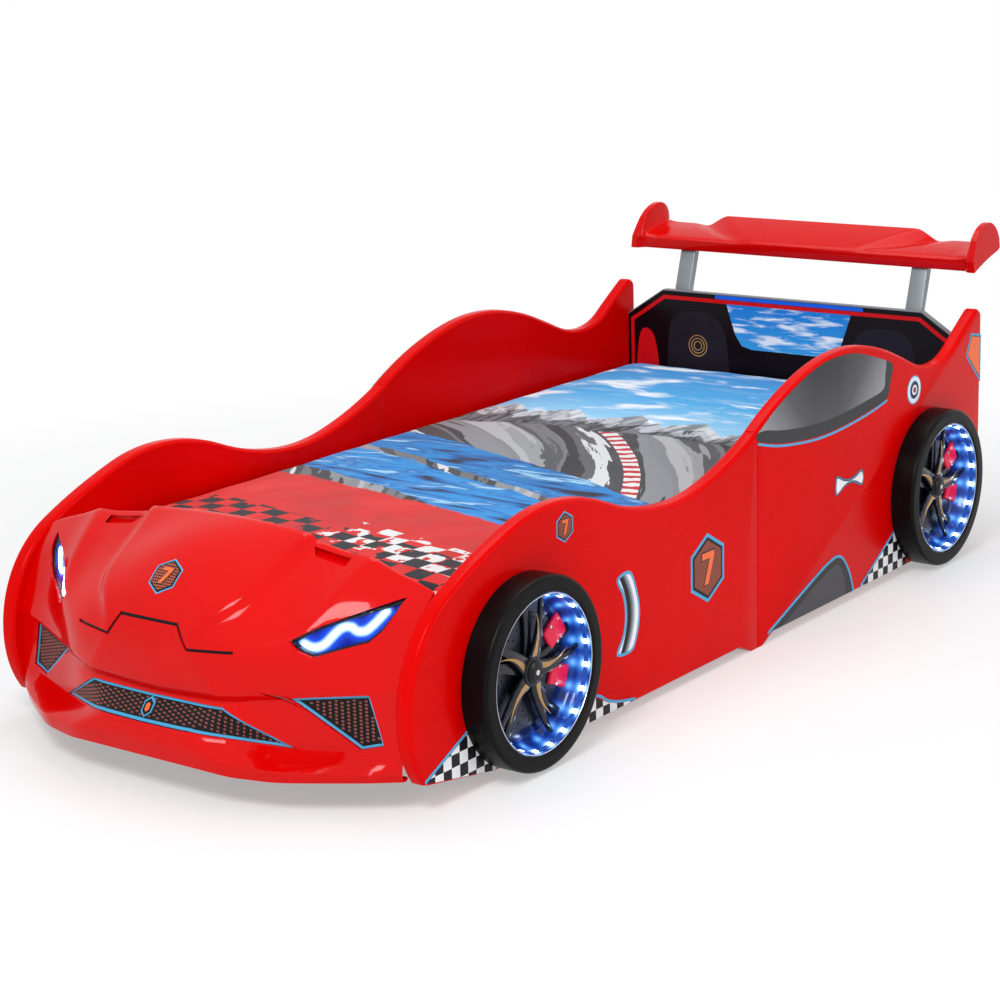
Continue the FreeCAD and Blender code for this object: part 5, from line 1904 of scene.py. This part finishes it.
    def grille(self, kit: Kit, name: str, outline: Line, depth: float) -> None:
        """One grille: plate, blue rim, the red reveal round it and studs.

        Args:
            kit: Where it is registered.
            name: The CAD node's name.
            outline: Its corners as (x, z).
            depth: Its face behind the skin.
        """
        back = patch(name + "_plate", grown(outline, -0.0004), 0.018, depth, 0.003, self.behind)
        kit.add(back, "grille_dark", "grille", name)
        rim, wall = spaced(grown(outline, -0.0006), 0.014), spaced(outline, 0.014)
        ring_piece = band(name + "_rim", rim, grown(rim, -0.0042), depth - 0.0012, 0.0018, self.behind)
        kit.add(ring_piece, "line_blue", "grille")
        reveal = band(name + "_reveal", grown(wall, 0.0026), wall, 0.0012, depth + 0.002, self.behind)
        kit.add(reveal, "lacquer_shell", "moulding")
        stud = block((0.0066, 0.0016, 0.0038), 0.0006, 1)
        places = [Matrix.Translation(self.behind(u, v, depth)) for u, v in self.stud_places(grown(outline, -0.0085))]
        kit.add(scatter(name + "_studs", stud, places), "grille_bead", "grille")
        bpy.data.objects.remove(stud)

    def stud_places(self, outline: Line) -> list[Point]:
        """Columns of places inside an outline, every other one set higher.

        Args:
            outline: The outline.

        Returns:
            The places.
        """
        us, vs = zip(*outline)
        return [(u, v) for column, u in enumerate(np.arange(min(us), max(us), 0.0102))
                for v in np.arange(min(vs) + 0.0032 * (column % 2), max(vs), 0.0064) if inside(outline, u, v)]

    def headlamp(self, kit: Kit, side: Side) -> None:
        """Lens, back with a painted glow, light guide, bezel and screws of one headlight.

        Args:
            kit: Where the pieces are registered.
            side: The side of the car.
        """
        word, outline = side.word, mirrored(self.headlight, side)
        edge = spaced(grown(outline, -0.0006), 0.02)
        lens = patch("headlamp_lens_" + word, edge, 0.011, 0.003, 0.002, self.front)
        kit.add(lens, "lens_clear", "lens", "headlight_lens_" + word)
        kit.palette.dress(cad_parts["headlight_tray_" + word], "tray_dark")
        inner = spaced(grown(outline, -0.0035), 0.02)
        # a sheet behind the lens that paints the light guide's glow on the headlight's back
        glow = patch("headlamp_glow_" + word, inner, 0.0028, 0.0098, 0.0015, self.front)
        line = np.array([self.front(u, v, 0.0098) for u, v in mirrored(curved(self.guide, 8), side)])
        reach = glow.data.attributes.new("reach", "FLOAT", "POINT")
        reach.data.foreach_set("value", [float(np.min(np.linalg.norm(line - np.array(vertex.co), axis=1)))
                                         for vertex in glow.data.vertices])
        kit.add(glow, "guide_glow", "tray")
        path = [self.front(u, v, 0.0088) for u, v in mirrored(curved(self.guide, 5), side)]
        kit.add(tube("headlamp_guide_" + word, path, 0.0034), "guide_core", "tray")
        rim = spaced(grown(outline, -0.0008), 0.014)
        bezel = band("headlamp_bezel_" + word, rim, grown(rim, -0.0034), 0.0056, 0.0075, self.front)
        kit.add(bezel, "film_black", "tray")
        for index, place in enumerate(mirrored(self.screws, side)):
            screw = plate(f"headlamp_screw_{index}_{word}", ring(0.0021, 16, place), 0.0058, 0.002, self.front, 0.0004)
            kit.add(screw, "film_black", "tray")

    def bonnet_plaque(self, kit: Kit) -> None:
        """The six-sided plaque on the bonnet.

        Args:
            kit: Where the pieces are registered.
        """
        middle, normal, _, _ = self.hits.ray_cast(Vector((0, -1.117, 1.0)), DOWN)
        along = Vector((0, normal.z, -normal.y)).normalized()

        def spot(u: float, v: float, h: float) -> Vector:
            """A place on the bonnet near the plaque's middle."""
            start = middle + Vector((u, 0, 0)) + along * v + normal * 0.05
            place, way, _, _ = self.hits.ray_cast(start, -normal)
            return place + way * h

        digit = [(u * 0.036, v * 0.036) for u, v in SEVEN]
        fields = [spaced(hexagon(size, narrow=0.92), 0.012) for size in (0.037, 0.0335, 0.0302)]
        for name, outline, low, thick, finish in (
            ("plaque_0", fields[0], -0.0004, 0.0012, "line_blue"),
            ("plaque_1", fields[1], -0.0004, 0.0017, "film_black"),
            ("plaque_2", fields[2], -0.0004, 0.0022, "mesh_film"),
            ("digit_0", grown(digit, 0.0013), 0.0, 0.0024, "film_band"),
            ("digit_1", digit, 0.0, 0.0029, "film_orange"),
        ):
            kit.add(plate("bonnet_" + name, outline, low, thick, spot), finish, "moulding")


# ------------------------------------------------------------------ wheels


@dataclass(frozen=True)
class Blade:
    """A bowed, tapering blade with rounded edges.

    Args:
        turn: Degrees past the direction of its spoke.
        root: Its width at the hub.
        tip: Its width at the rim.
        sweep: How far its middle bows sideways.
        low: Its back's depth.
        thick: Its thickness.
        start: Radius where it starts.
        reach: Radius where it ends.
        soft: Its rim's rounding.
    """

    turn: float
    root: float
    tip: float
    sweep: float
    low: float
    thick: float
    start: float
    reach: float
    soft: float

    def build(self, aim: float) -> Object:
        """Makes the blade.

        Args:
            aim: The direction of its spoke in degrees.

        Returns:
            The blade.
        """
        angle = math.radians(aim + self.turn)
        sides: list[list[Point]] = [[], []]
        for t in np.linspace(0, 1, 13):
            r, bow = self.start + (self.reach - self.start) * t, 4 * t * (1 - t)
            width = self.root + (self.tip - self.root) * t - 0.08 * (self.root + self.tip) * bow
            for side, sign in zip(sides, (1, -1)):
                off = sign * width / 2 - self.sweep * bow
                side.append((cos(angle) * r - sin(angle) * off, sin(angle) * r + cos(angle) * off))
        return plate("blade", sides[0] + sides[1][::-1], self.low, self.thick, outward, self.soft)


@dataclass
class Wheel:
    """One dummy wheel, modelled round its own axis outward from the panel, and copied to four places."""

    radius: float = 0.176
    depth: float = 0.053
    bore: float = 0.145
    mouth: float = 0.050
    first_spoke: float = 5.0
    face: Blade = Blade(0, 0.033, 0.0085, 0.008, 0.0165, 0.0080, 0.020, 0.1396, 0.0028)
    deep: Blade = Blade(17, 0.024, 0.0190, 0.005, 0.0085, 0.0060, 0.022, 0.1330, 0.0016)
    inlay: Blade = Blade(5.5, 0.0130, 0.0014, 0.0085, 0.0236, 0.0016, 0.027, 0.104, 0.0006)
    hub: Line = ((0.004, 0.0), (0.004, 0.0265), (0.0255, 0.0265), (0.0275, 0.0250), (0.0280, 0.0225), (0.0280, 0.0))
    plain_disc: Line = (
        (0.0045, 0.030), (0.0045, 0.104), (0.0080, 0.104), (0.0080, 0.060), (0.0074, 0.058), (0.0074, 0.030),
    )
    cap: Line = (
        (0.0278, 0.0), (0.0278, 0.0220), (0.0300, 0.0218), (0.0318, 0.0200), (0.0330, 0.0170), (0.0345, 0.0150),
        (0.0350, 0.0120), (0.0350, 0.0070), (0.0342, 0.0062), (0.0342, 0.0),
    )
    button: Line = (
        (0.0340, 0.0), (0.0340, 0.0052), (0.0348, 0.0050), (0.0353, 0.0040), (0.0353, 0.0016), (0.0349, 0.0012),
        (0.0349, 0.0),
    )

    def build(self, kit: Kit) -> None:
        """Models each part once and sets it on the four axles.

        Args:
            kit: Where the pieces are registered.
        """
        aims = [self.first_spoke + 360 / SPOKES * k for k in range(SPOKES)]
        blades = [blade.build(aim) for aim in aims for blade in (self.face, self.deep)]
        spider = soften(join([turned("hub", self.hub, 64), *blades], "spoke_spider"), 40)
        inlays = soften(join([self.inlay.build(aim) for aim in aims], "spoke_inlay"), 40)
        kit.add(refined("brake_calipers", 0.0016, 3), "caliper_red", "caliper", "brake_calipers")
        for part, finish, slot, *nodes in (
            (self.tyre(), "tyre_black", "tyre", "tyres"),
            # the barrel's finish paints the diodes' blue glow and its reflection on it with emission
            (turned("rim_barrel", self.barrel(), 128), "barrel_lit", "rim", "rim_barrels"),
            (self.rim_ring("rim_edge", 128, (-2, -6), (7, -10), (7, -22), (-2, -26)), "silver", "rim"),
            (self.rim_ring("strip", 120, (-150, -56), (-150, -43), (-60, -41), (-60, -56)), "strip_blue", "led",
             "led_strips"),
            (self.diodes(), "diode_core", "led"),
            (self.disc(), "disc_steel", "disc", "brake_discs"),
            (self.caliper_bolts(), "zinc", "caliper"),
            (spider, "spoke_black", "spokes", "spoke_spiders"),
            (inlays, "spoke_bronze", "spokes"),
            (turned("hub_cap", self.cap, 64), "cap_black", "cap", "hub_caps"),
            (turned("hub_button", self.button, 32), "silver", "cap"),
        ):
            for side in Side:
                turn = Matrix.Rotation(pi if side is Side.RIGHT else 0.0, 4, "Z")
                for end, axle in AXLES.items():
                    move = Matrix.Translation((side.value * PANEL_FACE, axle, AXLE_HEIGHT)) @ turn
                    kit.add(duplicate(part, f"{part.name}_{end}_{side.word}", move), finish, slot, *nodes)
            bpy.data.objects.remove(part)

    def tyre(self) -> Object:
        """Makes the smooth tyre with its rounded shoulder.

        Returns:
            The tyre.
        """
        r, d, b = self.radius, self.depth, self.bore
        shoulder = [(d - 0.0075 * (1 - sin(a)), r - 0.0075 * (1 - cos(a))) for a in np.linspace(0, pi / 2, 7)]
        lip = [(d - 0.0025 * (1 - cos(a)), b + 0.0025 * (1 - sin(a))) for a in np.linspace(0, pi / 2, 4)]
        groove = [(d, b + 0.0072), (d - 0.0006, b + 0.0065), (d, b + 0.0058)]
        return turned("tyre", [(0.0, r), *shoulder, *groove, *lip, (0.0, b)], 128)

    def barrel(self) -> Line:
        """The section of the rim's barrel and its back."""
        b, m = self.bore, self.mouth
        return (
            (0.0002, 0.0), (0.0002, b - 0.0002), (m, b - 0.0002), (m, b - 0.0032), (m - 0.002, b - 0.0038),
            (m - 0.018, b - 0.0040), (m - 0.0215, b - 0.0062), (m - 0.030, b - 0.0075), (0.010, b - 0.012),
            (0.004, b - 0.018), (0.004, 0.0),
        )

    def rim_ring(self, name: str, steps: int, *corners: Point) -> Object:
        """A thin ring in the mouth of the rim.

        Args:
            name: Its name.
            steps: Divisions of the circle.
            *corners: Its section in tenths of a millimetre from the rim's mouth and bore.

        Returns:
            The ring.
        """
        return turned(name, [(self.mouth + u / 10000, self.bore + v / 10000) for u, v in corners], steps)

    def diodes(self) -> Object:
        """Makes the strip's diodes, each a small rounded block.

        Returns:
            The diodes as one piece.
        """
        unit = block((0.0085, 0.0018, 0.0085), 0.0008, 2)
        out = Matrix.Translation((self.mouth - 0.0105, self.bore - 0.0063, 0.0))
        turns = [Matrix.Rotation(2 * pi * (k + 0.5) / DIODES, 4, "X") for k in range(DIODES)]
        made = scatter("diodes", unit, [turn @ out for turn in turns])
        bpy.data.objects.remove(unit)
        return made

    def disc(self) -> Object:
        """Makes the drilled brake disc.

        Returns:
            The disc.
        """
        disc = turned("brake_disc", self.plain_disc, 96)
        for row, radius in enumerate((0.072, 0.083, 0.094)):
            angles = (2 * pi * (k + row / 3) / 18 for k in range(18))
            holes = [plate("hole", ring(0.0022, 8, (radius * cos(a), radius * sin(a))), 0.0060, 0.006, outward)
                     for a in angles]
            carve(disc, join(holes, "holes"))
        return soften(disc)

    def caliper_bolts(self) -> Object:
        """Makes two bolt heads for each caliper.

        Returns:
            The heads as one piece.
        """
        angles = [math.radians(degrees) for degrees in (20, 43, -30, -10)]
        heads = [plate("head", ring(0.0034, 6, (0.092 * cos(a), 0.092 * sin(a))), 0.0135, 0.0036, outward, 0.0005)
                 for a in angles]
        return join(heads, "caliper_bolts")


# ------------------------------------------------------------------ wing


@dataclass
class RearWing:
    """The wing in one moulding: blade, raised deck and two leaning fins."""

    half: float = 0.472
    front: float = 1.077
    back: float = 1.187
    low: float = 0.622
    edge: float = 0.652
    rear: float = 0.675
    rear_low: float = 0.660
    lean: float = 0.012
    fin: Line = (
        (0.0, 0.652), (0.10, 0.676), (0.20, 0.696), (0.32, 0.711), (0.45, 0.7205), (0.58, 0.7255), (0.70, 0.7265),
        (0.80, 0.7225), (0.90, 0.7130), (0.96, 0.7010), (1.0, 0.6850),
    )

    def build(self, kit: Kit) -> None:
        """Makes the wing from closed sections, right to left.

        Args:
            kit: Where the piece is registered.
        """
        half = [*np.linspace(0, 0.425, 62), *np.linspace(0.428, self.half, 20)]
        columns = [self.section(float(x)) for x in [-x for x in half[:0:-1]] + half]
        rows = list(zip(*columns))
        wing = bevelled(closed_net("rear_wing_shell", [*rows, rows[0]]), 0.0016, 2, 50)
        kit.add(soften(wing, 44), "lacquer_wing", "wing", "rear_wing")

    def section(self, x: float) -> list[Vector]:
        """One closed section, from the front's foot over the top and back below.

        Args:
            x: Where it lies across the car.

        Returns:
            Its points.
        """
        reach = abs(x)
        fin, foot = ease((reach - 0.436) / 0.020), ease((reach - 0.405) / 0.050)
        y0, y1 = self.front - 0.014 * fin, self.back + 0.020 * fin
        points = [(y0 + 0.004 * (1 - fin), self.low), (y0, self.low + 0.006), (y0, self.edge - 0.006)]
        for t in np.linspace(0, 1, 25):
            blade = self.edge + (self.rear - self.edge) * t + 0.003 * sin(pi * t) - 0.0045 * math.exp(-t / 0.03)
            spread = 0.140 + 0.150 * t ** 0.8
            rise = (0.002 + 0.021 * t ** 1.15) * ease((spread - reach) / (0.050 + 0.012 * t) + 0.5)
            gully = 0.004 * math.exp(-((reach - spread - 0.034) / 0.022) ** 2) * min(1.0, 2.2 * t)
            top = blade + rise - gully + 0.006 * foot * (1 - fin)
            tall = float(np.interp(t, *zip(*self.fin)))
            points.append((y0 + (y1 - y0) * t, top + max(tall - top, 0.0) * fin))
        points.append((y1 - 0.001, self.rear_low + 0.003 * fin))
        for t in np.linspace(0.9, 0.1, 8):
            points.append((y0 + (y1 - y0) * t, self.low + (self.rear_low - self.low) * t + 0.003 * sin(pi * t)))
        wide = min(reach + 0.0015 * fin, self.half)
        return [Vector((math.copysign(1.0, x) * (wide - self.lean * max(0.0, z - self.low) / 0.105 * fin), y, z))
                for y, z in points]


# ------------------------------------------------------------------ mattress


@dataclass
class Mattress:
    """The foam mattress in its printed cover, swollen by a cloth simulation, with piped edges."""

    half_width: float = 0.446
    foot: float = -0.876
    head: float = 1.016
    low: float = 0.2065
    high: float = 0.346
    corner: float = 0.045
    voxel: float = 0.0145
    swell: float = 0.007

    def build(self, kit: Kit) -> None:
        """Makes the pad and its piping.

        Args:
            kit: Where the pieces are registered.
        """
        pad = self.pad()
        self.simulate(pad)
        self.press(modified(pad, "SUBSURF", levels=1, render_levels=1))
        only(pad)
        bpy.ops.object.shade_smooth()
        kit.add(pad, "quilt_print", "mattress", "mattress", body="mattress")
        for name, height in (("piping_top", 0.331), ("piping_low", 0.226)):
            piping = tube(name, self.edge_path(pad, height), 0.0034, True)
            kit.add(piping, "piping_grey", "mattress", body="mattress")

    def plan(self, inset: float = 0.0) -> list[Point]:
        """The rounded rectangle seen from above.

        Args:
            inset: How far it is drawn in.

        Returns:
            Its outline.
        """
        out, r = [], self.corner
        for sx, sy, start in ((1, 1, 0), (-1, 1, 90), (-1, -1, 180), (1, -1, 270)):
            cx = sx * (self.half_width - inset - r)
            cy = self.head - inset - r if sy > 0 else self.foot + inset + r
            angles = (math.radians(start + 90 * k / 8) for k in range(9))
            out += [(cx + r * cos(a), cy + r * sin(a)) for a in angles]
        return out

    def pad(self) -> Object:
        """The block before it swells, remeshed to an even net."""
        slab = plate("mattress_pad", self.plan(0.003), self.low + 0.001, self.high - self.low - 0.003, level)
        return modified(bevelled(slab, 0.014, 4, 50), "REMESH", mode="VOXEL", voxel_size=self.voxel)

    def simulate(self, pad: Object) -> None:
        """Inflates the cover a little and keeps every point within a cap.

        Args:
            pad: The pad.
        """
        before = np.array([v.co[:] for v in pad.data.vertices])
        cloth = pad.modifiers.new("cloth", "CLOTH")
        cloth.settings.use_pressure = True
        cloth.settings.uniform_pressure_force = 4.0
        cloth.settings.effector_weights.gravity = 0.0
        cloth.settings.quality = 4
        cloth.settings.tension_stiffness = cloth.settings.compression_stiffness = 12
        cloth.collision_settings.use_collision = False
        scene = bpy.context.scene
        for step in range(1, 21):
            scene.frame_set(step)
        shaped = pad.evaluated_get(bpy.context.evaluated_depsgraph_get())
        move = np.array([v.co[:] for v in shaped.data.vertices]) - before
        pad.modifiers.remove(cloth)
        scene.frame_set(1)
        size = np.linalg.norm(move, axis=1, keepdims=True)
        move *= np.minimum(1.0, self.swell / np.maximum(size, 1e-9))
        for vertex, place in zip(pad.data.vertices, before + move):
            vertex.co = place

    def press(self, pad: Object) -> None:
        """Flattens the pad where it rests, draws its sides in and keeps it in its space.

        Args:
            pad: The pad.
        """
        for vertex in pad.data.vertices:
            x, y, z = vertex.co
            if z > 0.30:
                z += max(0.0, 0.0045 * (1 - (x / 0.45) ** 2) * (1 - ((y - 0.07) / 0.95) ** 4))
                z += 0.0010 * sin(x * 41 + 3 * sin(y * 7)) * sin(y * 23 + 2 * sin(x * 11))
            z = min(max(z, 0.2057), 0.3595)
            limit = 0.4495 - 0.004 * sin(pi * min(max((z - 0.226) / 0.105, 0), 1))
            vertex.co = (min(max(x, -limit), limit), min(max(y, -0.8790), 1.0190), z)

    def edge_path(self, pad: Object, height: float) -> list[Vector]:
        """Where a piping lies: the pad's rim at one height.

        Args:
            pad: The pad.
            height: The piping's height.

        Returns:
            Places along it.
        """
        tree = BVHTree.FromObject(pad, bpy.context.evaluated_depsgraph_get())
        out = []
        for u, v in spaced(self.plan(), 0.035):
            place = tree.find_nearest(Vector((u * 1.02, 0.07 + (v - 0.07) * 1.01, height)))[0]
            out.append(Vector((place.x * 0.9965, 0.07 + (place.y - 0.07) * 0.9985, height)))
        return out


# ------------------------------------------------------------------ base and fasteners


@dataclass
class Base:
    """The slatted base, its rails and beam, the boards across, and the steel parts."""

    parts: tuple[tuple[str, str, str, float], ...] = (
        ("bed_slats", "pine_across", "softwood", 0.0025),
        ("slat_rail_left", "pine_along", "softwood", 0.0020),
        ("slat_rail_right", "pine_along", "softwood", 0.0020),
        ("centre_beam", "pine_along", "softwood", 0.0025),
        ("beam_legs", "pine_up", "softwood", 0.0025),
        ("nose_cleat", "pine_across", "softwood", 0.0015),
        ("footboard", "board_white", "plain_board", 0.0012),
        ("joint_plates", "zinc", "hardware", 0.0006),
        ("corner_brackets", "zinc", "hardware", 0.0006),
        ("glide_feet", "foot_grey", "glide", 0.0030),
        ("led_driver", "driver_white", "driver", 0.0040),
    )

    def build(self, kit: Kit) -> None:
        """Rounds and dresses each part."""
        for node, finish, slot, width in self.parts:
            kit.add(refined(node, width), finish, slot, node)


@dataclass
class Fasteners:
    """Cross-head screws wherever a steel part or slat is held."""

    head: float = 0.0042
    height: float = 0.0020

    def build(self, kit: Kit) -> None:
        """Models one screw and sets it everywhere it is needed.

        Args:
            kit: Where the pieces are registered.
        """
        headwards, footwards = (Matrix.Rotation(sign * pi / 2, 4, "X") for sign in (1, -1))
        plates, rails, brackets = [], [], []
        for side in Side:
            inward = Matrix.Rotation(-side.value * pi / 2, 4, "Y")
            x, corner = side.value * 0.457, side.value * 0.432
            plates += [((x, y, z), inward) for y in (0.000, 0.104) for z in (0.072, 0.120)]
            rails += [((side.value * 0.446, 0.948 - 0.146 * k, 0.205), Matrix.Identity(4)) for k in range(13)]
            for z in (0.071, 0.101):
                brackets += [((x, y, z), inward) for y in (-0.860, 1.004)]
                brackets += [((corner, 1.026, z), headwards), ((corner, -0.882, z), footwards)]
        posts = [((x, 1.0670, z), footwards) for x in (-0.319, 0.319) for z in (0.350, 0.430)]
        screw = self.screw()
        for name, places in (("plate", plates), ("bracket", brackets), ("slat", rails), ("post", posts)):
            moves = [Matrix.Translation(place) @ turn for place, turn in places]
            kit.add(scatter(name + "_screws", screw, moves), "zinc", "hardware")
        bpy.data.objects.remove(screw)

    def screw(self) -> Object:
        """Makes a pan head with a cross recess, standing up from the origin.

        Returns:
            The screw's head.
        """
        head = turned("screw", [
            (0.0, 0.0), (0.0, self.head), (self.height * 0.4, self.head), (self.height * 0.8, self.head * 0.8),
            (self.height, self.head * 0.45), (self.height, 0.0),
        ], 16)
        for wide, tall in ((0.0022, 0.0005), (0.0005, 0.0022)):
            cross = [(-wide, -tall), (wide, -tall), (wide, tall), (-wide, tall)]
            carve(head, plate("slot", cross, self.height - 0.0007, 0.002, outward))
        head.data.transform(Matrix.Rotation(-pi / 2, 4, "Y"))
        return seal(head, "screw")


def main() -> None:
    """Builds the bed's looks round the frame."""
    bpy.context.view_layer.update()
    kit = Kit(Palette())
    Studio().build()
    for assembly in (SidePanels, HeadEnd, Nose, Wheel, RearWing, Mattress, Base, Fasteners):
        assembly().build(kit)
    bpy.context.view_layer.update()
    LOG.info("%d pieces", kit.count)


if __name__ == "__main__":
    main()
